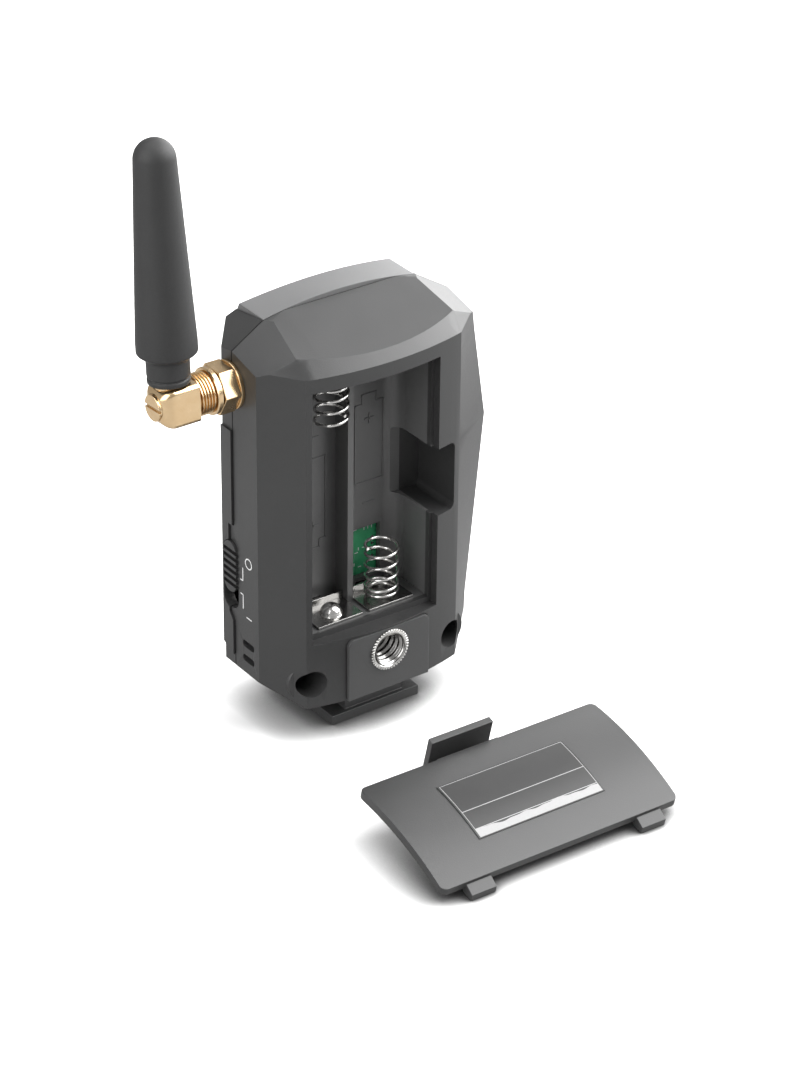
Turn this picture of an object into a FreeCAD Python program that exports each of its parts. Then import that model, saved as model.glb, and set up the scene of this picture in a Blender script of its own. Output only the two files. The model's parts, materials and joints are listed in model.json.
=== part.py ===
import FreeCAD, Part
import math
import os
import re
import Sketcher

# A radio flash trigger that stands on a camera shoe foot, with its battery door taken off.
# Millimetres, +Z up, +Y towards the front. The origin is the middle of the foot's underside.

V = FreeCAD.Vector

sizes = {
    # casing, seen from above
    "wall": 1.6,
    "seam_y": 2.36,
    "seam_gap": 0.15,
    "back_half": 16,
    "back_depth": 13.06,
    "back_bulge": 2.2,
    "side_half": 22.05,
    "bevel_depth": 5.77,
    "front_depth": 10.54,
    "left_front_bevel": 7.3,
    "right_front_bevel": 3.9,
    # casing, heights
    "body_low": 6.8,
    "chamfer_high": 4.6,
    "back_high": 71.24,
    "crest_high": 74.19,
    "crest_inset": 2.48,
    "roof_high": 77.04,
    "roof_half": 15.75,
    "roof_crown": 1.6,
    "shoulder_high": 73.11,
    "roof_flat": 6.77,
    "brow_high": 71,
    # flank that swells on the right, at the heights of its kinks
    "flank_low_high": 15,
    "flank_peak_high": 50.3,
    "flank_top_high": 67.7,
    "flank_peak": 3.65,
    "flank_top": 1.05,
    # battery bay
    "bay_left": -15,
    "bay_right": 10.8,
    "bay_bottom": 19.5,
    "bay_top": 68.6,
    "bay_floor_y": 0,
    "bay_floor_thick": 1.2,
    "bay_round": 1.2,
    "ledge": 0.6,
    "sill": 1.1,
    "rabbet": 1.5,
    "latch_right": 14.9,
    "latch_low": 37.5,
    "latch_high": 50.65,
    "rib_x": -2,
    "rib_thick": 1.2,
    "rib_y": -3.8,
    "trough_round": 3,
    "window_left": 1,
    "window_right": 7,
    "window_low": 22,
    "window_high": 32,
    "cell_left_x": -7.4,
    "cell_right_x": 3.3,
    "cell_y": -5.7,
    # contacts and springs
    "contact_thick": 0.4,
    "contact_half": 4.7,
    "contact_gap": 0.1,
    "tab_half": 1.5,
    "dimple_round": 2.1,
    "spring_round": 2.9,
    "spring_wire": 0.55,
    "low_spring_tall": 10.8,
    "high_spring_tall": 9,
    "spring_turns": 5.5,
    # tripod block, insert and screws
    "block_half": 8.6,
    "block_high": 19,
    "block_depth": 8.8,
    "fit_gap": 0.12,
    "insert_z": 14.7,
    "insert_bore": 2.6,
    "insert_barrel": 3.4,
    "insert_flange": 4,
    "insert_proud": 0.4,
    "insert_long": 8,
    "screw_x": 14.85,
    "screw_z": 11.6,
    "screw_hole": 2.6,
    "screw_head": 2.2,
    "screw_head_tall": 1.6,
    "screw_shank": 1,
    "screw_long": 10,
    "screw_sunk": 6.2,
    "boss_round": 3.8,
    # shoe foot
    "foot_half": 9.3,
    "foot_deep": 9,
    "foot_thick": 1.9,
    "neck_half": 6.1,
    "pin_round": 1.1,
    "pin_long": 4.6,
    "well_roof": 0.5,
    # power switch
    "slot_low": 22.8,
    "slot_high": 36.4,
    "slot_y": 3.2,
    "slot_half": 2,
    "thumb_long": 10,
    "thumb_proud": 0.45,
    "thumb_gap": 0.15,
    "thumb_rib": 0.45,
    "flange_thick": 0.5,
    "tongue_high": 39.5,
    "tongue_low": 20.5,
    "tongue_deep": 1.1,
    # lanyard bar and side step
    "lanyard_y": -1.7,
    "lanyard_half": 1.75,
    "lanyard_low": 14.4,
    "lanyard_high": 17.3,
    "lanyard_tall": 1.3,
    "step_high": 58,
    "step_proud": 0.4,
    # antenna
    "antenna_y": 2.6,
    "antenna_z": 66.9,
    "jack_round": 3.1,
    "jack_gap": 0.05,
    "jack_long": 9.3,
    "jack_flange_thick": 1.4,
    "jack_tail": 2,
    "washer_thick": 0.8,
    "nut_across": 8,
    "nut_thick": 3.1,
    "collar_long": 4.3,
    "collar_round": 3.3,
    "elbow_long": 7.1,
    "elbow_half": 3.5,
    "whip_x": -34.1,
    "whip_lean": -4,
    "neck_round": 3.7,
    "neck_tall": 5.9,
    "sheath_round": 5.2,
    "sheath_tip": 3.6,
    "sheath_tall": 37.2,
    "sheath_wall": 1.6,
    # board
    "board_y": 1.5,
    "board_thick": 1.6,
    "board_half": 18.5,
    "board_low": 15.8,
    "board_high": 63,
    # front panel and controls
    "panel_half": 15.6,
    "panel_thick": 1.5,
    "panel_low": 20,
    "button_z": 45,
    "button_round": 5,
    "button_proud": 0.8,
    "button_travel": 0.5,
    "button_gap": 0.15,
    "stem_round": 1.8,
    "light_z": 57,
    "light_round": 1.4,
    "dip_z": 30,
    "dip_half": 6,
    "dip_tall": 5.4,
    "slider_wide": 1.6,
    "slider_tall": 1.8,
    "slider_travel": 1.6,
    "slider_pitch": 2.8,
    # ports
    "port_y": 5.6,
    "sync_z": 39,
    "sync_bore": 1.75,
    "remote_z": 28,
    "remote_bore": 1.25,
    "port_barrel": 2.4,
    "cover_low": 22.6,
    "cover_high": 44.4,
    "cover_back": 1.9,
    "cover_front": 8.7,
    "cover_thick": 1.4,
    "cover_seat_x": 22.6,
    "cover_gap": 0.15,
    # battery door, lying beside the trigger
    "door_gap": 0.15,
    "door_thick": 1.4,
    "door_x": -0.7,
    "door_y": -52,
    "door_turn": -1.3,
    "door_tilt": 14,
    "clip_half": 6.35,
    "clip_shift": -2,
    "clip_deep": 9.3,
    "clip_high": 1.9,
    "clip_wide": 3.4,
    "clip_wall": 1.3,
    "hook_wide": 5,
    "hook_out": 2,
    "hook_thick": 1.3,
    "label_long": 26,
    "label_wide": 13,
    "label_thick": 0.12,
}

doc = FreeCAD.newDocument("flash_trigger")
sheet = doc.addObject("Spreadsheet::Sheet", "Sizes")
for row, (name, size) in enumerate(sizes.items(), start=1):
    sheet.set(f"A{row}", name)
    sheet.set(f"B{row}", str(size))
    sheet.setAlias(f"B{row}", name)
doc.recompute()

parts = []

# Lines that several pieces share, as expressions on the sheet
back_y = "(seam_y - back_depth)"
back_radius = "((back_half^2 + back_bulge^2) / (2 * back_bulge))"
side_y = "(seam_y - back_depth + bevel_depth)"
front_y = "(seam_y + front_depth)"
far = 60


def value(text):
    return float(sheet.evalExpression(str(text)))


def sized(text):
    def named(word):
        return "Sizes." + word.group() if word.group() in sizes else word.group()
    return re.sub(r"[a-z][a-z0-9_]*", named, str(text))


def bind(sketch, kind, spots, size):
    index = sketch.addConstraint(Sketcher.Constraint(kind, *spots, value(size)))
    sketch.setExpression(f"Constraints[{index}]", sized(size))


def draw_circle(sketch, x, y, radius):
    centre = V(value(x), value(y), 0)
    index = sketch.addGeometry(Part.Circle(centre, V(0, 0, 1), value(radius)))
    bind(sketch, "Radius", [index], radius)
    bind(sketch, "DistanceX", [-1, 1, index, 3], x)
    bind(sketch, "DistanceY", [-1, 1, index, 3], y)


def draw_loop(sketch, corners):
    # A corner is (x, y), or (x, y, radius) where an outward arc leads to the next corner
    points = [V(value(corner[0]), value(corner[1]), 0) for corner in corners]
    ends = []
    for place, corner in enumerate(corners):
        start = points[place]
        end = points[(place + 1) % len(points)]
        if len(corner) == 2:
            index = sketch.addGeometry(Part.LineSegment(start, end))
        else:
            chord = end - start
            radius = value(corner[2])
            rise = abs(radius) - math.sqrt(radius ** 2 - (chord.Length / 2) ** 2)
            outward = V(chord.y, -chord.x, 0).normalize()
            middle = (start + end) / 2 + outward * math.copysign(rise, radius)
            index = sketch.addGeometry(Part.ArcOfCircle(start, middle, end))
        begins = 1 if sketch.getPoint(index, 1).distanceToPoint(start) < 1e-6 else 2
        ends.append((index, begins, 3 - begins))
    for place, corner in enumerate(corners):
        index, begins, finishes = ends[place]
        following = ends[(place + 1) % len(corners)]
        sketch.addConstraint(
            Sketcher.Constraint("Coincident", index, finishes, following[0], following[1]))
        bind(sketch, "DistanceX", [-1, 1, index, begins], corner[0])
        bind(sketch, "DistanceY", [-1, 1, index, begins], corner[1])
        if len(corner) == 3:
            bind(sketch, "Radius", [index], f"abs({corner[2]})")


def sketch_on(body, plane, level, loops):
    sketch = body.newObject("Sketcher::SketchObject", "Outline")
    roles = {"xy": "XY_Plane", "xz": "XZ_Plane", "yz": "YZ_Plane"}
    support = [item for item in body.Origin.OriginFeatures if item.Role == roles[plane]][0]
    sketch.AttachmentSupport = (support, [""])
    sketch.MapMode = "FlatFace"
    # the XZ plane looks towards -Y, so its offset runs the other way
    toward = "-1" if plane == "xz" else "1"
    sketch.setExpression("AttachmentOffset.Base.z", sized(f"{toward} * ({level})"))
    for loop in loops:
        if loop[0] == "circle":
            draw_circle(sketch, *loop[1:])
        else:
            draw_loop(sketch, loop)
    return sketch


def new_body(name):
    body = doc.addObject("PartDesign::Body", name)
    body.Label = name
    parts.append(body)
    return body


def pad(body, plane, start, end, *loops):
    feature = body.newObject("PartDesign::Pad", "Pad")
    feature.Profile = sketch_on(body, plane, start, loops)
    body.Tip = feature
    feature.setExpression("Length", sized(f"({end}) - ({start})"))
    feature.Reversed = plane == "xz"
    doc.recompute()
    return feature


def cut(body, plane, start, end, *loops):
    before = body.Shape.Volume
    feature = body.newObject("PartDesign::Pocket", "Pocket")
    feature.Profile = sketch_on(body, plane, start if plane == "xz" else end, loops)
    body.Tip = feature
    feature.setExpression("Length", sized(f"({end}) - ({start})"))
    doc.recompute()
    if body.Shape.Volume > before - 1e-4:
        raise ValueError(f"{body.Label}: a pocket on {plane} from {start} cuts nothing")
    return feature


def slice_off(body, first, second, third):
    # Takes away what lies outside the plane through three points, anticlockwise seen from outside
    points = [V(*(value(size) for size in point)) for point in (first, second, third)]
    outward = (points[1] - points[0]).cross(points[2] - points[0])
    before = body.Shape.Volume
    sketch = sketch_on(body, "xy", "0", [box_loop(-far, -far, far, far)])
    sketch.setExpression("AttachmentOffset.Base.z", None)
    sketch.AttachmentOffset = FreeCAD.Placement(points[0], FreeCAD.Rotation(V(0, 0, 1), outward))
    feature = body.newObject("PartDesign::Pocket", "Slice")
    feature.Profile = sketch
    body.Tip = feature
    feature.Reversed = True
    feature.Length = far
    doc.recompute()
    if body.Shape.Volume > before - 1e-4:
        raise ValueError(f"{body.Label}: a slice cuts nothing")


def box_loop(left, low, right, high):
    return [(left, low), (right, low), (right, high), (left, high)]


def round_box(left, low, right, high, radius):
    return [
        (f"{left} + {radius}", low),
        (f"{right} - {radius}", low, radius),
        (right, f"{low} + {radius}"),
        (right, f"{high} - {radius}", radius),
        (f"{right} - {radius}", high),
        (f"{left} + {radius}", high, radius),
        (left, f"{high} - {radius}"),
        (left, f"{low} + {radius}", radius),
    ]


def turned(name, outline):
    # A round piece about its own Z axis; the outline gives (radius, height) corners
    body = new_body(name)
    feature = body.newObject("PartDesign::Revolution", "Turned")
    sketch = sketch_on(body, "xz", "0", [outline])
    feature.Profile = sketch
    feature.ReferenceAxis = (sketch, ["V_Axis"])
    feature.Angle = 360
    body.Tip = feature
    doc.recompute()
    return body


def place(body, x, y, z, rotation=None):
    for axis, size in zip("xyz", (x, y, z)):
        body.setExpression(f"Placement.Base.{axis}", sized(size))
    if rotation:
        body.Placement.Rotation = rotation
    doc.recompute()
    return body


def block(name, left, back, low, right, front, high):
    body = new_body(name)
    pad(body, "xy", low, high, box_loop(left, back, right, front))
    return body


def soften(body, radius, choose):
    # Rounds the edges that choose(middle, direction) picks
    edges = []
    for index, edge in enumerate(body.Shape.Edges, start=1):
        first, last = edge.ParameterRange
        middle = edge.valueAt((first + last) / 2)
        heading = edge.valueAt(last) - edge.valueAt(first)
        if choose(middle, heading):
            edges.append(f"Edge{index}")
    if not edges:
        raise ValueError(f"{body.Label}: no edge to round")
    base = body.Tip
    feature = body.newObject("PartDesign::Fillet", "Fillet")
    feature.Base = (base, edges)
    feature.setExpression("Radius", sized(radius))
    body.Tip = feature
    doc.recompute()


along_x = FreeCAD.Rotation(V(0, 1, 0), 90)
along_minus_x = FreeCAD.Rotation(V(0, 1, 0), -90)
along_y = FreeCAD.Rotation(V(1, 0, 0), -90)
along_minus_y = FreeCAD.Rotation(V(1, 0, 0), 90)


def flank_outline(out):
    edge = f"(side_half + {out})"
    return [
        ("back_half - wall", back_y),
        ("back_half", back_y),
        (edge, side_y),
        (edge, f"{front_y} - right_front_bevel"),
        ("back_half", front_y),
        ("back_half - wall", front_y),
    ]


def hull(name):
    # The casing's outer form, before it is split at the seam and hollowed
    body = new_body(name)
    pad(body, "xy", "body_low", "roof_high + roof_crown", [
        ("-back_half", back_y, back_radius),
        ("back_half", back_y),
        ("side_half", side_y),
        ("side_half", f"{front_y} - right_front_bevel"),
        ("back_half", front_y),
        ("-back_half", front_y),
        ("-side_half", f"{front_y} - left_front_bevel"),
        ("-side_half", side_y),
    ])
    loft = body.newObject("PartDesign::AdditiveLoft", "Flank")
    levels = [
        ("body_low", "0.01"),
        ("flank_low_high", "0.25"),
        ("flank_peak_high", "flank_peak"),
        ("flank_top_high", "flank_top"),
        ("roof_high", "0.01"),
    ]
    sections = [sketch_on(body, "xy", level, [flank_outline(out)]) for level, out in levels]
    loft.Profile = sections[0]
    loft.Sections = sections[1:]
    loft.Ruled = True
    body.Tip = loft
    doc.recompute()

    crest_y = f"{back_y} + crest_inset"
    # rear slope of the roof, and the brow over the front
    slice_off(body, ("0", crest_y, "crest_high"), ("10", crest_y, "crest_high"),
              ("0", "seam_y", "roof_high + roof_crown / 2"))
    slice_off(body, ("0", f"{front_y}", "brow_high"), ("0", "seam_y + roof_flat", "roof_high + roof_crown"),
              ("10", f"{front_y}", "brow_high"))
    # underside of the front
    slice_off(body, ("0", f"{front_y}", "body_low + chamfer_high"), ("10", f"{front_y}", "body_low + chamfer_high"),
              ("0", f"{front_y} - right_front_bevel", "body_low"))
    for side in (1, -1):
        order = (0, 1, 2) if side == 1 else (0, 2, 1)
        corners = [
            (f"{side} * side_half", "seam_y", "shoulder_high"),
            (f"{side} * roof_half", "seam_y", "roof_high"),
            (f"{side} * (roof_half + 0.4)", crest_y, "crest_high"),
        ]
        slice_off(body, *[corners[index] for index in order])
        corners = [
            (f"{side} * side_half", front_y, "shoulder_high - 1.5"),
            (f"{side} * roof_half", "seam_y", "roof_high"),
            (f"{side} * side_half", "seam_y", "shoulder_high"),
        ]
        slice_off(body, *[corners[index] for index in order])
        # triangular facet over each rear bevel
        corners = [
            (f"{side} * back_half", back_y, "back_high"),
            (f"{side} * side_half", side_y, "back_high + 0.96"),
            (f"{side} * (roof_half + 0.4)", crest_y, "crest_high"),
        ]
        slice_off(body, *[corners[index] for index in order])
        # lower corners
        corners = [
            (f"{side} * back_half", "0", "body_low"),
            (f"{side} * back_half", "10", "body_low"),
            (f"{side} * side_half", "0", "body_low + chamfer_high"),
        ]
        slice_off(body, *[corners[index] for index in order])
    # band along the top of the curved back
    groove = body.newObject("PartDesign::Groove", "Band")
    sketch = sketch_on(body, "yz", "0", [[
        (f"{back_y} - back_bulge - 2 * crest_inset", "back_high - 2 * (crest_high - back_high)"),
        (f"{back_y} - back_bulge + crest_inset", "crest_high"),
        (f"{back_y} - back_bulge + 3 * crest_inset", "crest_high + 2 * (crest_high - back_high)"),
        (f"{back_y} - back_bulge - 2 * crest_inset", "crest_high + 2 * (crest_high - back_high)"),
    ]])
    axis = sketch.addGeometry(Part.LineSegment(V(40, 0, 0), V(40, 10, 0)), True)
    sketch.addConstraint(Sketcher.Constraint("Vertical", axis))
    bind(sketch, "DistanceX", [-1, 1, axis, 1], f"{back_y} - back_bulge + {back_radius}")
    groove.Profile = sketch
    groove.ReferenceAxis = (sketch, ["Axis0"])
    groove.Angle = 60
    groove.Midplane = True
    body.Tip = groove
    doc.recompute()
    # crowned top
    cut(body, "xz", f"{back_y} - 5", f"{front_y} + 5", [
        ("-roof_half", "roof_high + 8"),
        ("-roof_half", "roof_high", "-(roof_half^2 + roof_crown^2) / (2 * roof_crown)"),
        ("roof_half", "roof_high"),
        ("roof_half", "roof_high + 8"),
    ])
    return body


def inner_plan(inset):
    # The casing's plan drawn inside its walls
    return [
        (f"-back_half + {inset} / 3", f"{back_y} + {inset}"),
        (f"back_half - {inset} / 3", f"{back_y} + {inset}"),
        (f"side_half - {inset}", f"{side_y} + {inset} / 3"),
        (f"side_half - {inset}", f"{front_y} - right_front_bevel - {inset} / 3"),
        (f"back_half - {inset} / 2", f"{front_y} - {inset} - panel_thick"),
        (f"-back_half + {inset} / 2", f"{front_y} - {inset} - panel_thick"),
        (f"-side_half + {inset}", f"{front_y} - left_front_bevel - {inset} / 3"),
        (f"-side_half + {inset}", f"{side_y} + {inset} / 3"),
    ]


def side_slot(grow):
    return round_box(f"slot_y - slot_half - {grow}", f"slot_low - {grow}",
                     f"slot_y + slot_half + {grow}", f"slot_high + {grow}", f"(slot_half + {grow} - 0.01)")


def tongue(gap):
    # The seam steps forward beside the switch
    return [
        ("seam_y - 0.5", f"tongue_low - {gap}"),
        ("seam_y", f"tongue_low - {gap}"),
        (f"seam_y + tongue_deep + {gap}", f"tongue_low + 1.6 - {gap}"),
        (f"seam_y + tongue_deep + {gap}", f"tongue_high + {gap}"),
        ("seam_y - 0.5", f"tongue_high + {gap}"),
    ]


def port_holes(body, start, end):
    loops = [("circle", "port_y", height, "port_barrel + fit_gap") for height in ("sync_z", "remote_z")]
    cut(body, "yz", start, end, *loops)


def cover_seat(body):
    cut(body, "yz", "cover_seat_x", "side_half + 2 * flank_peak", box_loop(
        "cover_back - cover_gap", "cover_low - cover_gap", "cover_front + cover_gap", "cover_high + cover_gap"))


def rear_shell():
    body = hull("rear_shell")
    cut(body, "xz", "seam_y", f"{front_y} + 1", box_loop(-far, -1, far, 100))
    pad(body, "yz", "-side_half", "-side_half + wall", tongue("0"))
    cut(body, "xy", "body_low + wall", f"back_high - wall", inner_plan("wall"))
    cut(body, "xz", "seam_y - 6", "seam_y", box_loop(
        "-roof_half + 1", "back_high - 2 * wall", "roof_half - 1", "roof_high - 2 * wall"))
    # box of the battery bay and the post of each screw
    pad(body, "xz", f"{back_y} + wall / 2", "bay_floor_y + bay_floor_thick", box_loop(
        "bay_left - wall", "bay_bottom - wall", "latch_right + wall", "bay_top + wall"))
    for side in (-1, 1):
        pad(body, "xz", f"{back_y} + wall", "seam_y", ("circle", f"{side} * screw_x", "screw_z", "boss_round"))
    # bay with its two rounded troughs and the rib between them
    bay = [
        ("bay_left + ledge", f"{back_y} - 5"),
        ("rib_x - rib_thick / 2", f"{back_y} - 5"),
        ("rib_x - rib_thick / 2", "bay_floor_y"),
        ("bay_left + ledge + trough_round", "bay_floor_y", "trough_round"),
        ("bay_left + ledge", "bay_floor_y - trough_round"),
    ]
    right = [
        ("rib_x + rib_thick / 2", f"{back_y} - 5"),
        ("bay_right - ledge", f"{back_y} - 5"),
        ("bay_right - ledge", "bay_floor_y - trough_round", "trough_round"),
        ("bay_right - ledge - trough_round", "bay_floor_y"),
        ("rib_x + rib_thick / 2", "bay_floor_y"),
    ]
    cut(body, "xy", "bay_bottom + sill", "bay_top - ledge", bay, right)
    cut(body, "xz", f"{back_y} - 5", "rib_y", box_loop(
        "rib_x - rib_thick", "bay_bottom + sill", "rib_x + rib_thick", "bay_top - ledge"))
    # ledge that carries the door, and the recess for its clip
    cut(body, "xy", "bay_bottom", "bay_top", [
        ("bay_left", f"{back_y} - 5"),
        ("bay_right", f"{back_y} - 5"),
        ("bay_right", f"{back_y} + rabbet - 1.1"),
        ("bay_left", f"{back_y} + rabbet - 0.25", f"-{back_radius}"),
    ])
    cut(body, "xz", f"{back_y} - 5", "bay_floor_y - 0.4", round_box(
        "bay_right - 2 * ledge - bay_round", "latch_low", "latch_right", "latch_high", "bay_round"))
    # slots for the contact tabs
    low = "bay_bottom + sill + contact_gap"
    for middle in ("cell_left_x", "cell_right_x"):
        cut(body, "xz", "bay_floor_y - 0.1", "bay_floor_y + bay_floor_thick + 0.1", box_loop(
            f"{middle} - tab_half - fit_gap", f"{low} - fit_gap",
            f"{middle} + tab_half + fit_gap", f"{low} + contact_thick + fit_gap"))
    # window that shows the board
    cut(body, "xz", "bay_floor_y - 0.1", "bay_floor_y + bay_floor_thick + 0.1", box_loop(
        "window_left", "window_low", "window_right", "window_high"))
    # tripod block's notch
    cut(body, "xz", f"{back_y} - 5", f"{back_y} - back_bulge + block_depth + fit_gap", [
        ("-block_half - fit_gap", "body_low - 1"),
        ("block_half + fit_gap", "body_low - 1"),
        ("block_half + fit_gap", "block_high - 1.2", "(1.2 + fit_gap)"),
        ("block_half - 1.2", "block_high + fit_gap"),
        ("-block_half + 1.2", "block_high + fit_gap", "(1.2 + fit_gap)"),
        ("-block_half - fit_gap", "block_high - 1.2"),
    ])
    for side in (-1, 1):
        spot = (f"{side} * screw_x", "screw_z")
        cut(body, "xz", f"{back_y} - 3", f"{back_y} + screw_sunk", ("circle", *spot, "screw_hole"))
        cut(body, "xz", f"{back_y} + screw_sunk - 0.1", "seam_y + 0.1", ("circle", *spot, "screw_shank + 0.05"))
    # switch slot, antenna hole, lanyard slots, port recess
    cut(body, "yz", "-side_half - 1", "-side_half + wall + 0.6", side_slot("0"))
    cut(body, "yz", "-side_half - 1", "-side_half + 5", ("circle", "antenna_y", "antenna_z", "jack_round + jack_gap"))
    for height in ("lanyard_low", "lanyard_high"):
        cut(body, "yz", "-side_half - 1", "-side_half + wall + 1", round_box(
            "lanyard_y - lanyard_half", f"{height} - lanyard_tall / 2",
            "lanyard_y + lanyard_half", f"{height} + lanyard_tall / 2", "0.5"))
    port_loops = box_loop("cover_back - cover_gap", "cover_low - cover_gap", "seam_y + 1", "cover_high + cover_gap")
    cut(body, "yz", "cover_seat_x", "side_half + 2 * flank_peak", port_loops)
    # room for the switch flange and the jack's inner nut behind the wall
    cut(body, "yz", "-side_half + wall", "-side_half + 5", ("circle", "antenna_y", "antenna_z", "jack_round + 1.6"))


def front_shell():
    body = hull("front_shell")
    cut(body, "xz", f"{back_y} - back_bulge - 1", "seam_y + seam_gap", box_loop(-far, -1, far, 100))
    cut(body, "xy", "body_low + wall", "shoulder_high - wall", inner_plan("wall"))
    cut(body, "xz", "seam_y", "seam_y + roof_flat - wall", box_loop(
        "-roof_half + 1", "back_high - 2 * wall", "roof_half - 1", "roof_high - wall - panel_thick"))
    # posts that take the screws
    for side in (-1, 1):
        spot = (f"{side} * screw_x", "screw_z")
        pad(body, "xz", "seam_y + seam_gap", f"{front_y} - wall", ("circle", *spot, "boss_round - 0.4"))
        cut(body, "xz", "seam_y", f"{back_y} + screw_sunk + screw_long + 1", ("circle", *spot, "screw_shank + 0.02"))
    # inlay bed of the front panel, over the roof and down the front
    cut(body, "yz", "-panel_half - fit_gap", "panel_half + fit_gap", [
        ("seam_y - 1", "roof_high - panel_thick"),
        ("seam_y + roof_flat - panel_thick / 2", "roof_high - panel_thick"),
        (f"{front_y} - panel_thick", "brow_high - panel_thick / 2"),
        (f"{front_y} - panel_thick", "panel_low - fit_gap"),
        (f"{front_y} + 2", "panel_low - fit_gap"),
        (f"{front_y} + 2", "roof_high + 9"),
        ("seam_y - 1", "roof_high + 9"),
    ])
    # raised side step below the shoulder, and the notch for the seam's tongue
    pad(body, "yz", "-side_half - step_proud", "-side_half + 0.5", [
        ("seam_y + seam_gap", "body_low + chamfer_high + 2.2"),
        (f"{front_y} - left_front_bevel", "body_low + chamfer_high + 3.6"),
        (f"{front_y} - left_front_bevel", "step_high"),
        ("seam_y + seam_gap", "step_high"),
    ])
    cut(body, "yz", "-side_half - 1", "-side_half + wall + 0.1", tongue("seam_gap"))
    cut(body, "yz", "-side_half - 1", "-side_half + wall + 0.6", side_slot("0"))
    cut(body, "yz", "-side_half - 1", "-side_half + 5", ("circle", "antenna_y", "antenna_z", "jack_round + jack_gap"))
    cut(body, "yz", "-side_half + wall", "-side_half + 5", ("circle", "antenna_y", "antenna_z", "jack_round + 1.6"))
    cover_seat(body)
    port_holes(body, "side_half - 2 * wall", "cover_seat_x + 0.1")
    # openings for the button, the light and the channel switch
    hole = [
        ("circle", "0", "button_z", "stem_round + button_gap"),
        ("circle", "0", "light_z", "light_round + fit_gap"),
        box_loop("-dip_half - fit_gap", "dip_z - dip_tall / 2 - fit_gap",
                 "dip_half + fit_gap", "dip_z + dip_tall / 2 + fit_gap"),
    ]
    cut(body, "xz", f"{front_y} - 3 * wall", f"{front_y} + 1", *hole)


def front_panel():
    body = new_body("front_panel")
    pad(body, "yz", "-panel_half", "panel_half", [
        ("seam_y + seam_gap", "roof_high - panel_thick + fit_gap"),
        ("seam_y + roof_flat - panel_thick / 2", "roof_high - panel_thick + fit_gap"),
        (f"{front_y} - panel_thick + fit_gap", "brow_high - panel_thick / 2"),
        (f"{front_y} - panel_thick + fit_gap", "panel_low"),
        (front_y, "panel_low"),
        (front_y, "brow_high"),
        ("seam_y + roof_flat", "roof_high + roof_crown"),
        ("seam_y + seam_gap", "roof_high + roof_crown"),
    ])
    cut(body, "xz", f"{back_y} - 5", f"{front_y} + 5", [
        ("-roof_half", "roof_high + 8"),
        ("-roof_half", "roof_high", "-(roof_half^2 + roof_crown^2) / (2 * roof_crown)"),
        ("roof_half", "roof_high"),
        ("roof_half", "roof_high + 8"),
    ])
    cut(body, "xz", f"{front_y} - 3", f"{front_y} + 1",
        ("circle", "0", "button_z", "button_round + button_gap"),
        ("circle", "0", "light_z", "light_round + fit_gap"),
        box_loop("-dip_half - fit_gap", "dip_z - dip_tall / 2 - fit_gap",
                 "dip_half + fit_gap", "dip_z + dip_tall / 2 + fit_gap"))


def tripod_parts():
    body = new_body("tripod_block")
    rear = f"({back_y} - back_bulge - 0.05)"
    pad(body, "xz", rear, f"{rear} + block_depth", [
        ("-block_half", "body_low"),
        ("block_half", "body_low"),
        ("block_half", "block_high - 1.2", "1.2"),
        ("block_half - 1.2", "block_high"),
        ("-block_half + 1.2", "block_high", "1.2"),
        ("-block_half", "block_high - 1.2"),
    ])
    cut(body, "xz", f"{rear} - 1", f"{rear} + insert_long + 0.1", ("circle", "0", "insert_z", "insert_barrel + 0.02"))
    insert = turned("tripod_insert", [
        ("insert_bore", "0"),
        ("insert_flange", "0"),
        ("insert_flange", "insert_proud"),
        ("insert_barrel", "insert_proud"),
        ("insert_barrel", "insert_proud + insert_long"),
        ("insert_bore", "insert_proud + insert_long"),
    ])
    place(insert, "0", f"{rear} - insert_proud", "insert_z", along_y)


def screws():
    # two identical screws, one solid each
    pieces = []
    for side in (-1, 1):
        head = Part.makeCylinder(value("screw_head"), value("screw_head_tall"))
        shank = Part.makeCylinder(value("screw_shank"), value("screw_long"))
        recess = Part.makeBox(value("screw_head * 1.2"), 0.5, 0.9)
        recess.translate(V(-value("screw_head * 0.6"), -0.25, -0.1))
        upright = Part.makeBox(0.5, value("screw_head * 1.2"), 0.9)
        upright.translate(V(-0.25, -value("screw_head * 0.6"), -0.1))
        screw = head.fuse(shank).cut(recess.fuse(upright))
        screw.rotate(V(0, 0, 0), V(1, 0, 0), -90)
        start = f"{back_y} + screw_sunk - screw_head_tall"
        screw.translate(V(value(f"{side} * screw_x"), value(start), value("screw_z")))
        pieces.append(screw)
    group = doc.addObject("Part::Feature", "case_screws")
    group.Label = "case_screws"
    group.Shape = Part.makeCompound(pieces)
    parts.append(group)


def shoe():
    foot = new_body("shoe_foot")
    pad(foot, "xy", "0", "foot_thick", box_loop("-foot_half", "-foot_deep", "foot_half", "foot_deep"))
    pad(foot, "xy", "foot_thick - 0.1", "body_low", box_loop(
        "-neck_half", "-foot_deep + 0.8", "neck_half", "foot_deep - 0.6"))
    # plate that meets the casing, and the well of the contact pin
    pad(foot, "xy", "body_low - 1.1", "body_low", box_loop(
        "-neck_half - 1.6", "-foot_deep - 0.2", "neck_half + 1.6", "foot_deep"))
    cut(foot, "xy", "-1", "body_low - well_roof", ("circle", "0", "0", "pin_round + 0.05"))
    pin = turned("shoe_contact_pin", [
        ("0", "0"),
        ("pin_round - 0.4", "0"),
        ("pin_round", "0.4"),
        ("pin_round", "pin_long"),
        ("0", "pin_long"),
    ])
    place(pin, "0", "0", "0.02")
    room = "body_low - well_roof - pin_long"
    free_shape("contact_pin_spring", spring_shape("pin_round - 0.25", "0.25", f"{room} - 0.3", 4, Part.makeHelix),
               V(0, 0, value("pin_long + 0.02")))


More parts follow.
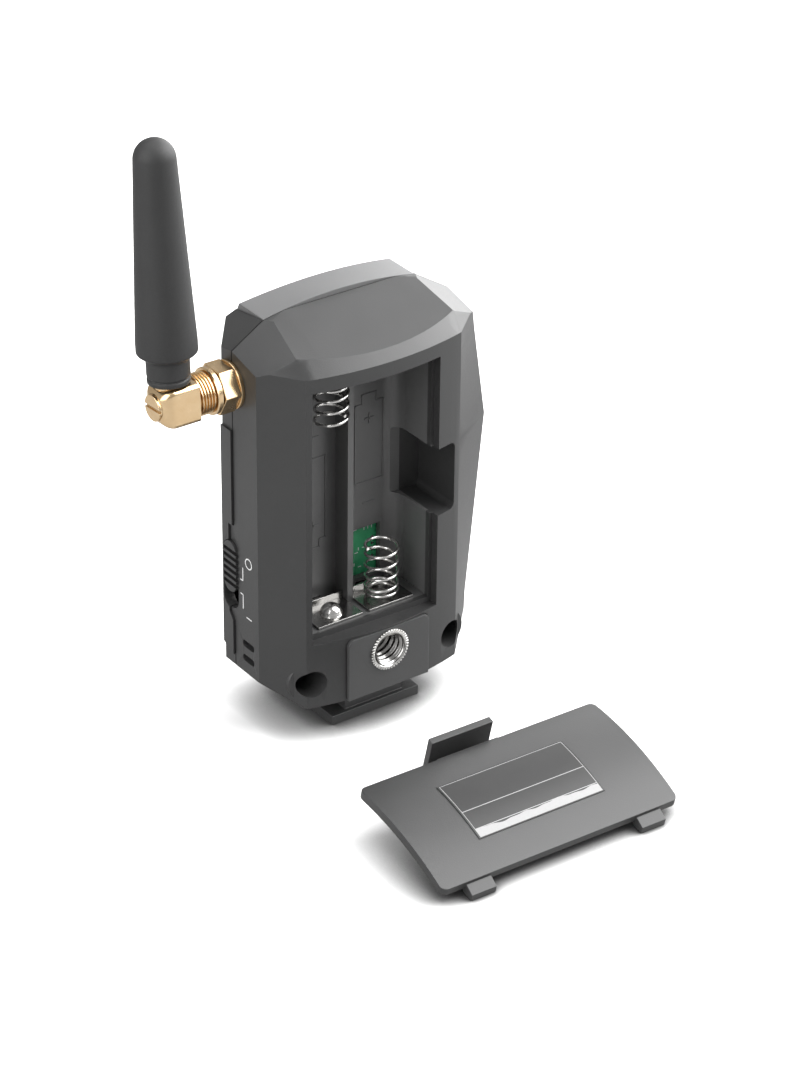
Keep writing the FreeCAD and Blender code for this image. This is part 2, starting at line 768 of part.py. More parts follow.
def free_shape(name, shape, position=None, rotation=None):
    piece = doc.addObject("Part::Feature", name)
    piece.Label = name
    piece.Shape = shape
    if position:
        piece.Placement = FreeCAD.Placement(position, rotation or FreeCAD.Rotation())
    parts.append(piece)
    return piece


def spring_shape(radius, wire, tall, turns, wound=Part.makeLongHelix):
    # A round wire wound about Z, standing from 0 to tall
    radius, wire, tall = value(radius), value(wire), value(tall)
    pitch = (tall - 2 * wire) / turns
    line = wound(pitch, tall - 2 * wire, radius)
    line.translate(V(0, 0, wire))
    heading = V(0, 1, pitch / (2 * math.pi * radius))
    ring = Part.Wire(Part.makeCircle(wire / 2, V(radius, 0, wire), heading))
    return Part.Wire(line.Edges).makePipeShell([ring], True, True)


def contacts():
    for name, x in (("plus_contact_plate", "cell_left_x"), ("minus_contact_plate", "cell_right_x")):
        body = new_body(name)
        low = "bay_bottom + sill + contact_gap"
        pad(body, "xy", low, f"{low} + contact_thick", box_loop(
            f"{x} - contact_half", f"{back_y} + rabbet + 0.4", f"{x} + contact_half", "bay_floor_y - contact_gap - 1.9"))
        # folded edge towards the floor of the bay, and the tab soldered to the board
        pad(body, "xy", low, f"{low} + 4 * contact_thick", box_loop(
            f"{x} - contact_half", "bay_floor_y - 2.4", f"{x} + contact_half", "bay_floor_y - 2"))
        pad(body, "xy", low, f"{low} + contact_thick", box_loop(
            f"{x} - tab_half", "bay_floor_y - 2.1", f"{x} + tab_half", "board_y - 0.05"))
    body = turned("plus_contact_dimple", [
        ("0", "0"),
        ("dimple_round", "0"),
        ("dimple_round * 0.8", "dimple_round * 0.55"),
        ("dimple_round * 0.35", "dimple_round * 0.85"),
        ("0", "dimple_round * 0.9"),
    ])
    place(body, "cell_left_x", "cell_y", "bay_bottom + sill + contact_gap + contact_thick")
    top = "bay_top - ledge - contact_gap"
    body = new_body("top_contact_link")
    pad(body, "xy", f"{top} - contact_thick", top, box_loop(
        "cell_left_x - contact_half", f"{back_y} + rabbet + 1.2", "cell_right_x + contact_half", "rib_y - contact_gap"))
    pad(body, "xy", f"{top} - 3 * contact_thick", f"{top} - contact_thick / 2", (
        "circle", "cell_right_x", "cell_y", "dimple_round - 0.4"))
    low_spring = spring_shape("spring_round", "spring_wire", "low_spring_tall", value("spring_turns"))
    free_shape("low_battery_spring", low_spring, V(
        value("cell_right_x"), value("cell_y"), value("bay_bottom + sill + contact_gap + contact_thick")))
    high_spring = spring_shape("spring_round", "spring_wire", "high_spring_tall", value("spring_turns - 1"))
    free_shape("high_battery_spring", high_spring, V(
        value("cell_left_x"), value("cell_y"), value(f"{top} - contact_thick - high_spring_tall - 0.04")))


def power_switch():
    high = "slot_high - thumb_gap"
    body = new_body("power_slide_thumb")
    low = f"{high} - thumb_long"
    pad(body, "yz", "-side_half - thumb_proud", "-side_half + wall + 0.2", round_box(
        "slot_y - slot_half + thumb_gap", low, "slot_y + slot_half - thumb_gap", high, "(slot_half - thumb_gap - 0.02)"))
    pad(body, "yz", "-side_half + wall + 0.1", "-side_half + wall + 0.1 + flange_thick", box_loop(
        "slot_y - slot_half - 0.2", f"{low} - 0.8", "slot_y + slot_half - thumb_gap", f"{high} + 0.8"))
    # cross ribs under a finger
    grooves = []
    for index in range(6):
        middle = f"({high} - thumb_long / 2 + {1.3 * (index - 2.5):.2f})"
        grooves.append(box_loop("slot_y - slot_half - 1", f"{middle} - thumb_rib",
                                "slot_y + slot_half + 1", f"{middle} + thumb_rib * 0.6"))
    cut(body, "yz", "-side_half - thumb_proud - 0.1", "-side_half - thumb_proud + 0.7", *grooves)
    block("power_switch_case", "-side_half + wall + flange_thick + 0.3", "board_y + board_thick + 0.05",
          "slot_low - 1", "-side_half + 6.2", "board_y + board_thick + 2", "slot_high + 1")


def antenna():
    nut_start = "-side_half - washer_thick"
    jack = turned("antenna_jack", [
        ("0", "0"),
        ("jack_round", "0"),
        ("jack_round", "jack_long"),
        ("jack_round + 1.4", "jack_long"),
        ("jack_round + 1.4", "jack_long + jack_flange_thick"),
        ("jack_round - 0.8", "jack_long + jack_flange_thick"),
        ("jack_round - 0.8", "jack_long + jack_flange_thick + jack_tail"),
        ("0", "jack_long + jack_flange_thick + jack_tail"),
    ])
    # the flange bears on the casing's inner wall and the barrel reaches into the collar
    place(jack, "-side_half + wall + 0.05 - jack_long", "antenna_y", "antenna_z", along_x)
    washer = turned("antenna_washer", [
        ("jack_round + jack_gap", "0"),
        ("nut_across / 2 + 0.4", "0"),
        ("nut_across / 2 + 0.4", "washer_thick - 0.05"),
        ("jack_round + jack_gap", "washer_thick - 0.05"),
    ])
    place(washer, "-side_half - 0.02", "antenna_y", "antenna_z", along_minus_x)
    nut = new_body("antenna_nut")
    corners = []
    for index in range(6):
        angle = math.radians(60 * index)
        corners.append((f"antenna_y + nut_across * {math.cos(angle) / math.sqrt(3):.6f}",
                        f"antenna_z + nut_across * {math.sin(angle) / math.sqrt(3):.6f}"))
    pad(nut, "yz", f"{nut_start} - nut_thick", nut_start, corners,
        ("circle", "antenna_y", "antenna_z", "jack_round + jack_gap"))
    collar_start = f"({nut_start} - nut_thick - 0.1)"
    collar = turned("coupling_collar", [
        ("jack_round + jack_gap", "0"),
        ("collar_round + 0.9", "0"),
        ("collar_round + 0.9", "1.1"),
        ("collar_round", "1.1"),
        ("collar_round", "2"),
        ("collar_round + 0.6", "2"),
        ("collar_round + 0.6", "3"),
        ("collar_round", "3"),
        ("collar_round", "collar_long - 0.1"),
        ("jack_round + jack_gap", "collar_long - 0.1"),
    ])
    place(collar, collar_start, "antenna_y", "antenna_z", along_minus_x)
    # elbow that turns on the collar, with the whip's stub on top
    elbow_right = f"({collar_start} - collar_long)"
    elbow = new_body("antenna_elbow")
    pad(elbow, "yz", f"{elbow_right} - elbow_long", elbow_right, round_box(
        "-elbow_half", "-elbow_half", "elbow_half", "elbow_half", "0.9"))
    soften(elbow, "2.4", lambda middle, heading: middle.x < value(f"{elbow_right} - elbow_long") + 0.01
           and abs(heading.y) > 1)
    cut(elbow, "yz", f"{elbow_right} - elbow_long - 1", f"{elbow_right} - elbow_long + 0.7",
        ("circle", "0", "0", "elbow_half - 1.1"))
    cut(elbow, "xy", "elbow_half - 0.6", "elbow_half + 1", ("circle", "whip_x", "0", "2.6"))
    tilt = FreeCAD.Rotation(V(1, 0, 0), value("whip_lean"))
    place(elbow, "0", "antenna_y", "antenna_z", tilt)
    cap = new_body("elbow_cap")
    cap_left = f"({elbow_right} - elbow_long - 0.25)"
    pad(cap, "yz", cap_left, f"{cap_left} + 0.9", ("circle", "0", "0", "elbow_half - 1.14"))
    cut(cap, "yz", f"{cap_left} - 0.5", f"{cap_left} + 0.4", box_loop("-5", "-0.25", "5", "0.25"))
    place(cap, "0", "antenna_y", "antenna_z", tilt)
    stub = turned("whip_stub", [
        ("0", "elbow_half - 0.55"),
        ("2.55", "elbow_half - 0.55"),
        ("2.55", "elbow_half + 0.4"),
        ("neck_round - sheath_wall", "elbow_half + 0.4"),
        ("neck_round - sheath_wall", "elbow_half + 3.4"),
        ("0.55", "elbow_half + 3.4"),
        ("0.55", "elbow_half + neck_tall + sheath_tall - 4"),
        ("0", "elbow_half + neck_tall + sheath_tall - 4"),
    ])
    place(stub, "whip_x", "antenna_y", "antenna_z", tilt)
    base = "elbow_half + 0.45"
    shoulder = "elbow_half + neck_tall"
    tip = "elbow_half + neck_tall + sheath_tall"
    sheath = turned("antenna_sheath", [
        ("neck_round - sheath_wall + 0.05", base),
        ("neck_round", base),
        ("neck_round", f"{base} + 0.8"),
        ("neck_round - 0.3", f"{base} + 1"),
        ("neck_round", f"{base} + 1.3"),
        ("neck_round", f"{shoulder} - 1.2"),
        ("sheath_round", shoulder),
        ("sheath_round", f"{shoulder} + 2"),
        ("sheath_tip", f"{tip} - sheath_tip", "sheath_tip"),
        ("0", tip),
        ("0", f"{tip} - sheath_tip"),
        ("neck_round - sheath_wall + 0.05", f"{tip} - sheath_tip"),
    ])
    place(sheath, "whip_x", "antenna_y", "antenna_z", tilt)
    coil = spring_shape("1.5", "0.5", "16", 9)
    axis = FreeCAD.Placement(V(value("whip_x"), value("antenna_y"), value("antenna_z")), tilt)
    coil.translate(V(0, 0, value("elbow_half + neck_tall + 5")))
    coil.Placement = axis.multiply(coil.Placement)
    free_shape("antenna_coil", coil)


def electronics():
    back = "board_y + board_thick + 0.05"
    board = new_body("main_board")
    pad(board, "xz", "board_y", "board_y + board_thick", round_box(
        "-board_half", "board_low", "board_half", "board_high", "1"))
    pieces = (
        ("radio_can", "-16", "50.5", "-3", "61.5", "2.4"),
        ("controller_chip", "-5", "31.5", "2", "38.5", "1.1"),
        ("crystal", "-9.5", "43", "-5.5", "47.5", "3"),
        ("voltage_regulator", "6", "52", "12", "56", "1.5"),
        ("flash_triac", "2.5", "18", "7.5", "24", "2.2"),
        ("test_switch", "-3", "42", "3", "48", "3.2"),
        ("status_led", "-1", "56", "1", "58", "1"),
    )
    for name, left, low, right, high, tall in pieces:
        block(name, left, back, low, right, f"{back} + {tall}", high)
    capacitor = turned("trigger_capacitor", [
        ("0", "0"),
        ("2.5", "0"),
        ("2.5", "4.9"),
        ("2.2", "5.2"),
        ("0", "5.2"),
    ])
    place(capacitor, "12.5", back, "60", along_y)
    # coax from the antenna jack to the board's edge: two straight runs joined by one tangent arc
    inner = value("-side_half + wall + 0.1 + jack_flange_thick + jack_tail")
    bend = 3
    level = value("antenna_z")
    edge = value("board_high") + 0.1
    depth = value("antenna_y")
    start = V(inner, depth, level)
    turn = V(inner + 1.2, depth, level)
    low = V(inner + 1.2 + bend, depth, level - bend)
    middle = V(inner + 1.2 + bend * math.sin(math.pi / 4), depth, level - bend + bend * math.cos(math.pi / 4))
    path = Part.Wire([
        Part.LineSegment(start, turn).toShape(),
        Part.Arc(turn, middle, low).toShape(),
        Part.LineSegment(low, V(low.x, depth, edge)).toShape(),
    ])
    ring = Part.Wire(Part.makeCircle(0.65, start, V(1, 0, 0)))
    free_shape("antenna_lead", path.makePipeShell([ring], True, True))


def controls():
    button = turned("test_button", [
        ("0", "0"),
        ("stem_round", "0"),
        ("stem_round", "5"),
        ("button_round", "5"),
        ("button_round", "6.1"),
        ("button_round - 0.5", "6.6"),
        ("0", "6.3"),
    ])
    place(button, "0", f"{front_y} + button_proud - 6.6", "button_z", along_y)
    light = turned("light_pipe", [
        ("0", "0"),
        ("light_round", "0"),
        ("light_round", "8"),
        ("light_round - 0.4", "8.3"),
        ("0", "8.4"),
    ])
    place(light, "0", f"{front_y} - 8.2", "light_z", along_y)
    case = new_body("channel_switch_case")
    pad(case, "xz", f"{front_y} - 6.5", f"{front_y} - 0.2", box_loop(
        "-dip_half", "dip_z - dip_tall / 2", "dip_half", "dip_z + dip_tall / 2"))
    slots = []
    middles = []
    for index in range(4):
        middle = f"({index - 1.5} * slider_pitch)"
        middles.append(middle)
        slots.append(box_loop(
            f"{middle} - slider_wide / 2 - 0.1", "dip_z - (slider_tall + slider_travel) / 2 - 0.1",
            f"{middle} + slider_wide / 2 + 0.1", "dip_z + (slider_tall + slider_travel) / 2 + 0.1"))
    cut(case, "xz", f"{front_y} - 1.6", f"{front_y} + 1", *slots)
    for index, middle in enumerate(middles, start=1):
        low = "dip_z - (slider_tall + slider_travel) / 2"
        block(f"channel_slider_{index}", f"{middle} - slider_wide / 2", f"{front_y} - 1.55", low,
              f"{middle} + slider_wide / 2", f"{front_y} + 0.35", f"{low} + slider_tall")


def ports():
    for name, height, bore in (("sync_jack", "sync_z", "sync_bore"), ("remote_jack", "remote_z", "remote_bore")):
        jack = new_body(name)
        back = "board_y + board_thick + 0.05"
        pad(jack, "yz", "9", "side_half - wall - 0.6", round_box(
            back, f"{height} - port_barrel", "port_y + port_barrel", f"{height} + port_barrel", "0.4"))
        pad(jack, "yz", "side_half - wall - 0.7", "cover_seat_x - 0.1", ("circle", "port_y", height, "port_barrel"))
        cut(jack, "yz", "11", "side_half + 2", ("circle", "port_y", height, bore))
    # rubber cover, hinged on its front edge
    cover = new_body("port_cover")
    pad(cover, "yz", "cover_seat_x + 0.1", "cover_seat_x + 0.1 + cover_thick", box_loop(
        "cover_back", "cover_low", "cover_front", "cover_high"))
    soften(cover, "0.5", lambda middle, heading: middle.x > value("cover_seat_x + cover_thick")
           and middle.y < value("cover_front") - 0.1)


def battery_door():
    # Drawn flat: x along the door, y across it, z out of its curved face
    half_long = "((bay_top - bay_bottom) / 2 - door_gap)"
    half_wide = "((bay_right - bay_left) / 2 - door_gap)"
    crown = "1.5"
    radius = f"(({half_wide}^2 + {crown}^2) / (2 * {crown}))"
    body = new_body("battery_door")
    pad(body, "yz", f"-{half_long}", half_long, [
        (f"-{half_wide}", "-door_thick"),
        (half_wide, "-door_thick"),
        (half_wide, "0", radius),
        (f"-{half_wide}", "0"),
    ])
    cut(body, "yz", f"-{half_long} - 1", f"{half_long} + 1", [
        (f"-{half_wide} + 1.6", "-door_thick - 1"),
        (f"{half_wide} - 1.6", "-door_thick - 1"),
        (f"{half_wide} - 1.6", "-door_thick", f"{radius}"),
        (f"-{half_wide} + 1.6", "-door_thick"),
    ])
    soften(body, "bay_round", lambda middle, heading: abs(heading.z) > 1 and abs(heading.x) + abs(heading.y) < 0.01)
    # sprung clip in a deep U on the latch side
    left = "clip_shift - clip_half"
    right = "clip_shift + clip_half"
    pad(body, "yz", left, right, [
        (f"{half_wide} - 1", "-door_thick"),
        (f"{half_wide} - 1", "-clip_deep"),
        (f"{half_wide} + clip_wide", "-clip_deep"),
        (f"{half_wide} + clip_wide", "clip_high"),
        (f"{half_wide} + clip_wide - clip_wall", "clip_high"),
        (f"{half_wide} + clip_wide - clip_wall", "-clip_deep + clip_wall"),
        (f"{half_wide} - 1 + clip_wall", "-clip_deep + clip_wall"),
        (f"{half_wide} - 1 + clip_wall", "-0.2"),
        (f"{half_wide} - 1", "-0.2"),
    ])
    # two hooks on the other side
    for share in (-0.35, 0.37):
        middle = f"({share} * 2 * {half_long})"
        pad(body, "yz", f"{middle} - hook_wide / 2", f"{middle} + hook_wide / 2", [
            (f"-{half_wide} + 1.5", "-door_thick - 0.2"),
            (f"-{half_wide} + 0.3", "-door_thick - hook_thick"),
            (f"-{half_wide} - hook_out", "-door_thick - hook_thick"),
            (f"-{half_wide} - hook_out", "-door_thick"),
            (f"-{half_wide} + 0.5", "-0.4"),
            (f"-{half_wide} + 1.5", "-0.4"),
        ])
    label = new_body("door_label")
    surface = f"(sqrt({radius}^2 - (label_wide / 2)^2) - {radius} + {crown})"
    pad(label, "yz", "-label_long / 2", "label_long / 2", [
        ("-label_wide / 2", f"{surface} + 0.02"),
        ("-label_wide / 2 + 0.01", f"{surface} + 0.02", f"-({radius} + 0.02)"),
        ("label_wide / 2 - 0.01", f"{surface} + 0.02"),
        ("label_wide / 2", f"{surface} + 0.02"),
        ("label_wide / 2", f"{surface} + 0.02 + label_thick", f"({radius} + 0.02 + label_thick)"),
        ("-label_wide / 2", f"{surface} + 0.02 + label_thick"),
    ])
    turn = FreeCAD.Rotation(V(0, 0, 1), value("door_turn"))
    tilt = FreeCAD.Rotation(V(1, 0, 0), value("door_tilt"))
    rotation = turn.multiply(tilt)
    # the lowest point of the tilted door rests just on the ground
    lifted = body.Shape.copy()
    lifted.Placement = FreeCAD.Placement(V(0, 0, 0), rotation)
    rest = -lifted.BoundBox.ZMin + 0.02
    for piece in (body, label):
        place(piece, "door_x", "door_y", str(round(rest, 4)), rotation)


rear_shell()
front_shell()
front_panel()
tripod_parts()
screws()
shoe()
contacts()
power_switch()
antenna()
electronics()
controls()
ports()
battery_door()
doc.recompute()

for item in doc.Objects:
    if "Invalid" in item.State or "Error" in item.State:
        raise RuntimeError(f"{item.Label} failed: {item.State}")
for piece in parts:
    if piece.Shape.isNull() or not piece.Shape.isValid() or not piece.Shape.Solids:
        raise RuntimeError(f"{piece.Label} is not a valid solid")
    loose = len(piece.Shape.Solids)
    if piece.Label != "case_screws" and loose != 1:
        raise RuntimeError(f"{piece.Label} came out as {loose} solids")

os.makedirs("parts", exist_ok=True)
for piece in parts:
    piece.Shape.exportStep(os.path.join("parts", f"{piece.Label}.step"))
print(f"{len(parts)} pieces written")
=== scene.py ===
import json
import math

import bmesh
import bpy
from mathutils import Matrix, Vector


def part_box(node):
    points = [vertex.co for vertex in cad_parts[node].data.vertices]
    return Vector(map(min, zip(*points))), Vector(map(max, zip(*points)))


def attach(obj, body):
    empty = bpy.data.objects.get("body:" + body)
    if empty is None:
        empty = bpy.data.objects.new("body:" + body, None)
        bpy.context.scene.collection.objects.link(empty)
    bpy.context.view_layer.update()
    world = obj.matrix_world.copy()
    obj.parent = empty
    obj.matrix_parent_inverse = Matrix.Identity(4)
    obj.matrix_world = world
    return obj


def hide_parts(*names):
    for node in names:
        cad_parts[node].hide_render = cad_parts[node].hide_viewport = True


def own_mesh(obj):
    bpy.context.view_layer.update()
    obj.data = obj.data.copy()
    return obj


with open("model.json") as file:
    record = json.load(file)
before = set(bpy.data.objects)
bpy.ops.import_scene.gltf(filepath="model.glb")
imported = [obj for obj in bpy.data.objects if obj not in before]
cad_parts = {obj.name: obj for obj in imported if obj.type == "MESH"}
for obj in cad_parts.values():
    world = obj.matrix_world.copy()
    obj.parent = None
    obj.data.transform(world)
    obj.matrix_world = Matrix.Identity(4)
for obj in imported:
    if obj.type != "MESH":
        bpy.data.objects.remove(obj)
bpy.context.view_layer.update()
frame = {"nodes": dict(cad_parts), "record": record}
scene = bpy.context.scene
mm = 0.001


class Wire:
    # a socket that can be used in sums
    def __init__(self, finish, socket):
        self.finish = finish
        self.socket = socket

    def __add__(self, other):
        return self.finish.maths("ADD", self, other)

    def __radd__(self, other):
        return self.finish.maths("ADD", other, self)

    def __sub__(self, other):
        return self.finish.maths("SUBTRACT", self, other)

    def __rsub__(self, other):
        return self.finish.maths("SUBTRACT", other, self)

    def __mul__(self, other):
        return self.finish.maths("MULTIPLY", self, other)

    def __rmul__(self, other):
        return self.finish.maths("MULTIPLY", other, self)

    def __gt__(self, other):
        return self.finish.maths("GREATER_THAN", self, other)

    def __lt__(self, other):
        return self.finish.maths("LESS_THAN", self, other)

    def __abs__(self):
        return self.finish.maths("ABSOLUTE", self)


class Finish:
    # one material; fixed holds the shader's constant settings by socket name
    def __init__(self, name, fixed=None):
        self.material = bpy.data.materials.new(name)
        self.material.use_nodes = True
        self.tree = self.material.node_tree
        self.shader = self.tree.nodes["Principled BSDF"]
        self.output = self.tree.nodes["Material Output"]
        for label, amount in (fixed or {}).items():
            self.shader.inputs[label].default_value = amount

    def node(self, kind, settings=None, inputs=None):
        made = self.tree.nodes.new(kind)
        for label, setting in (settings or {}).items():
            if label == "stops":
                self.fillRamp(made, setting)
            else:
                setattr(made, label, setting)
        for label, given in (inputs or {}).items():
            if isinstance(given, Wire):
                self.tree.links.new(given.socket, made.inputs[label])
            else:
                made.inputs[label].default_value = given
        return made

    def fillRamp(self, made, stops):
        elements = made.color_ramp.elements
        while len(elements) < len(stops):
            elements.new(0.5)
        for element, (place, colour) in zip(elements, stops):
            element.position = place
            element.color = colour

    def wire(self, kind, settings=None, inputs=None, output=0):
        return Wire(self, self.node(kind, settings, inputs).outputs[output])

    def maths(self, operation, first, second=None):
        inputs = {0: first}
        if second is not None:
            inputs[1] = second
        return self.wire("ShaderNodeMath", {"operation": operation}, inputs)

    def place(self, scale=1.0):
        coords = self.wire("ShaderNodeTexCoord", output="Object")
        if scale == 1.0:
            return coords
        return self.wire("ShaderNodeVectorMath", {"operation": "SCALE"}, {0: coords, "Scale": scale})

    def noise(self, size, detail=3.0, roughness=0.5):
        inputs = {"Vector": self.place(), "Scale": 1 / size, "Detail": detail, "Roughness": roughness}
        return self.wire("ShaderNodeTexNoise", None, inputs)

    def mix(self, amount, first, second):
        made = self.node("ShaderNodeMix", {"data_type": "RGBA"}, {0: amount})
        for index, given in ((6, first), (7, second)):
            if isinstance(given, Wire):
                self.tree.links.new(given.socket, made.inputs[index])
            else:
                made.inputs[index].default_value = given
        return Wire(self, made.outputs[2])

    def feed(self, label, wire):
        self.tree.links.new(wire.socket, self.shader.inputs[label])

    def bump(self, height, distance):
        self.feed("Normal", self.wire("ShaderNodeBump", None, {"Height": height, "Distance": distance}))


def grey(level, tint=(1, 1, 1)):
    return (level * tint[0], level * tint[1], level * tint[2], 1)


# painted shade: the band along the shells' seam that is coloured near black
seamShadeBand = {"y": 2.37 * mm, "half": 0.13 * mm}
# painted light: the level and box of the paler colour inside the bay
bayPaintedLight = {"level": 3.2, "box": ((-15, 10.7), (-9.2, 1), (19.6, 68.5))}
casing = {"dark": 0.024, "light": 0.033, "rough": 0.38, "grain": 0.22 * mm, "cloud": 9 * mm,
          "depth": 0.012 * mm}


def mouldedPlastic(name, level=1.0, rough=None, grain=1.0, paintedLightBox=None, seamShade=None):
    # spark-eroded tool texture with slight clouding; can add painted light in one box and painted shade
    # along the shells' seam
    base = rough or casing["rough"]
    finish = Finish(name, {"Specular IOR Level": 0.5})
    cloud = finish.noise(casing["cloud"], 4, 0.6)
    fine = finish.noise(casing["grain"] * grain, 2, 0.6)
    mixed = finish.mix(cloud * 0.6 + fine * 0.4, grey(casing["dark"] * level, (1, 1.005, 1.015)),
                       grey(casing["light"] * level, (1, 1.005, 1.01)))
    spot = finish.node("ShaderNodeSeparateXYZ", None, {"Vector": finish.place()})
    along = [Wire(finish, output) for output in spot.outputs]
    if paintedLightBox:
        # painted light: paler inside one box of the piece, the bay, standing in for light that reaches its
        # floor and walls
        paintedLightMask = 1
        for wire, (low, high) in zip(along, paintedLightBox["box"]):
            paintedLightMask = (wire > low * mm) * (wire < high * mm) * paintedLightMask
        mixed = finish.mix(paintedLightMask, mixed, finish.mix(cloud, grey(casing["dark"] * paintedLightBox["level"]),
                                                     grey(casing["light"] * paintedLightBox["level"])))
    seamShadeMask = 0
    if seamShade:
        # painted shade: the groove where the two shells meet is coloured near black, except where the
        # tongue carries it forward
        tongue = (along[0] < -20 * mm) * (along[2] > 19.5 * mm) * (along[2] < 40.5 * mm)
        seamShadeMask = (abs(along[1] - seamShade["y"]) < seamShade["half"]) * (1 - tongue)
        mixed = finish.mix(seamShadeMask, mixed, grey(0.002))
    finish.feed("Base Color", mixed)
    finish.feed("Roughness", fine * 0.14 + cloud * 0.08 + (base - 0.11) + seamShadeMask * 0.45)
    finish.bump(fine, casing["depth"] * grain)
    return finish.material


def rubber(name, level):
    finish = Finish(name, {"Specular IOR Level": 0.4})
    cloud = finish.noise(6 * mm, 3, 0.6)
    fine = finish.noise(0.35 * mm, 3, 0.7)
    finish.feed("Base Color", finish.mix(cloud, grey(level * 0.85), grey(level * 1.15, (1, 1, 1.02))))
    finish.feed("Roughness", fine * 0.2 + 0.48)
    finish.bump(fine, 0.01 * mm)
    return finish.material


def plated(name, light, dark, rough):
    # bright plating: handling haze, fine turning marks and darker spots
    finish = Finish(name, {"Metallic": 1.0})
    cloud = finish.noise(1.8 * mm, 4, 0.6)
    fine = finish.noise(0.12 * mm, 2, 0.5)
    finish.feed("Base Color", finish.mix(cloud, dark, light))
    finish.feed("Roughness", cloud * 0.12 + fine * 0.08 + (rough - 0.06))
    finish.bump(fine, 0.0018 * mm)
    return finish.material


def solderMask(name):
    # green lacquer with copper tracks that show as paler lines
    finish = Finish(name, {"Specular IOR Level": 0.5, "Coat Weight": 0.6, "Coat Roughness": 0.15})
    tracks = {"Vector": finish.place(420), "Scale": 1.0, "Mortar Size": 0.05, "Brick Width": 0.9,
              "Row Height": 0.31, "Color1": (0.008, 0.2, 0.075, 1), "Color2": (0.006, 0.16, 0.06, 1),
              "Mortar": (0.04, 0.32, 0.14, 1)}
    finish.feed("Base Color", finish.wire("ShaderNodeTexBrick", {"offset": 0.37}, tracks))
    finish.feed("Roughness", finish.noise(0.4 * mm) * 0.15 + 0.25)
    return finish.material


def labelFilm(name):
    finish = Finish(name, {"Specular IOR Level": 0.5})
    cloud = finish.noise(5 * mm, 3, 0.6)
    fine = finish.noise(0.3 * mm, 2, 0.5)
    finish.feed("Base Color", finish.mix(cloud, grey(0.010), grey(0.016)))
    finish.feed("Roughness", fine * 0.08 + 0.3)
    finish.bump(fine, 0.002 * mm)
    return finish.material


def printInk(name, level, rough=0.5):
    finish = Finish(name)
    worn = finish.noise(0.5 * mm, 3, 0.6)
    finish.feed("Base Color", finish.mix(worn, grey(level * 0.85), grey(level)))
    finish.feed("Roughness", worn * 0.1 + rough)
    return finish.material


def tinted(name, colour, rough, coat=0.0):
    finish = Finish(name, {"Specular IOR Level": 0.5, "Coat Weight": coat})
    worn = finish.noise(1.2 * mm, 3, 0.6)
    darker = (colour[0] * 0.8, colour[1] * 0.8, colour[2] * 0.8, 1)
    finish.feed("Base Color", finish.mix(worn, darker, (*colour, 1)))
    finish.feed("Roughness", worn * 0.15 + (rough - 0.07))
    finish.bump(worn, 0.004 * mm)
    return finish.material


def clearLight(name):
    finish = Finish(name, {"IOR": 1.49, "Transmission Weight": 0.7})
    worn = finish.noise(0.8 * mm, 2, 0.5)
    finish.feed("Base Color", finish.mix(worn, grey(0.75), grey(0.9)))
    finish.feed("Roughness", worn * 0.1 + 0.08)
    return finish.material


finishes = {
    "case_plastic": mouldedPlastic("casePlastic", paintedLightBox=bayPaintedLight, seamShade=seamShadeBand),
    # the panel plastic is paler than the casing; part of its level is painted light, raised to stand in for
    # light on the top strip
    "panel_plastic": mouldedPlastic("panelPlastic", 4.4, 0.4, 0.8, seamShade=seamShadeBand),
    "dark_plastic": mouldedPlastic("darkPlastic", 0.7, 0.4, 0.8),
    "button_plastic": mouldedPlastic("buttonPlastic", 2.4, 0.36, 0.8),
    "chip_black": mouldedPlastic("chipBlack", 0.45, 0.4, 0.6),
    "antenna_rubber": rubber("antennaRubber", 0.02),
    "cover_rubber": rubber("coverRubber", 0.036),
    "lead_jacket": rubber("leadJacket", 0.06),
    "nickel": plated("nickelPlate", (0.8, 0.79, 0.77, 1), (0.55, 0.545, 0.53, 1), 0.16),
    "gold": plated("goldPlate", (0.83, 0.64, 0.4, 1), (0.66, 0.45, 0.24, 1), 0.2),
    "copper": plated("drawnCopper", (0.86, 0.5, 0.32, 1), (0.7, 0.36, 0.22, 1), 0.25),
    "dark_steel": plated("blackZinc", (0.1, 0.1, 0.105, 1), (0.04, 0.04, 0.045, 1), 0.35),
    "board_green": solderMask("solderMask"),
    "label_film": labelFilm("labelFilm"),
    "clear_light": clearLight("clearLight"),
    "capacitor_sleeve": tinted("capacitorSleeve", (0.02, 0.03, 0.09), 0.3, 0.3),
    "switch_red": tinted("switchRed", (0.42, 0.025, 0.02), 0.42),
    "slider_white": tinted("sliderWhite", (0.8, 0.8, 0.77), 0.4),
}
whiteInk = printInk("whiteInk", 0.78)
silverInk = printInk("silverInk", 0.3, 0.35)
# painted light: a paler copy of the casing plastic, standing in for light on the tripod block's flat face
blockPlastic = mouldedPlastic("blockPlastic", 1.6)
# painted shade: a darker copy of the nickel, standing in for the dark bay that the contact plates and the
# insert's thread reflect
dullNickel = plated("dullNickel", (0.42, 0.415, 0.405, 1), (0.26, 0.255, 0.25, 1), 0.2)
for node in frame["record"]["subparts"]:
    shown = frame["nodes"][node["node"]]
    shown.data.materials.clear()
    shown.data.materials.append(finishes[node["material_slot"]])
slotOf = {entry["node"]: entry["material_slot"] for entry in frame["record"]["subparts"]}
bodyOf = {}
for body, members in frame["record"]["behaviour"]["bodies"].items():
    for member in members:
        bodyOf[member] = body
standing = set()
print("finishes made:", len(finishes))


def addPiece(name, mesh, body, slot, material=None, stands=()):
    piece = bpy.data.objects.new(name, mesh)
    scene.collection.objects.link(piece)
    mesh.materials.clear()
    mesh.materials.append(material or finishes[slot])
    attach(piece, body)
    if stands:
        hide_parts(*stands)
        standing.update(stands)
    return piece


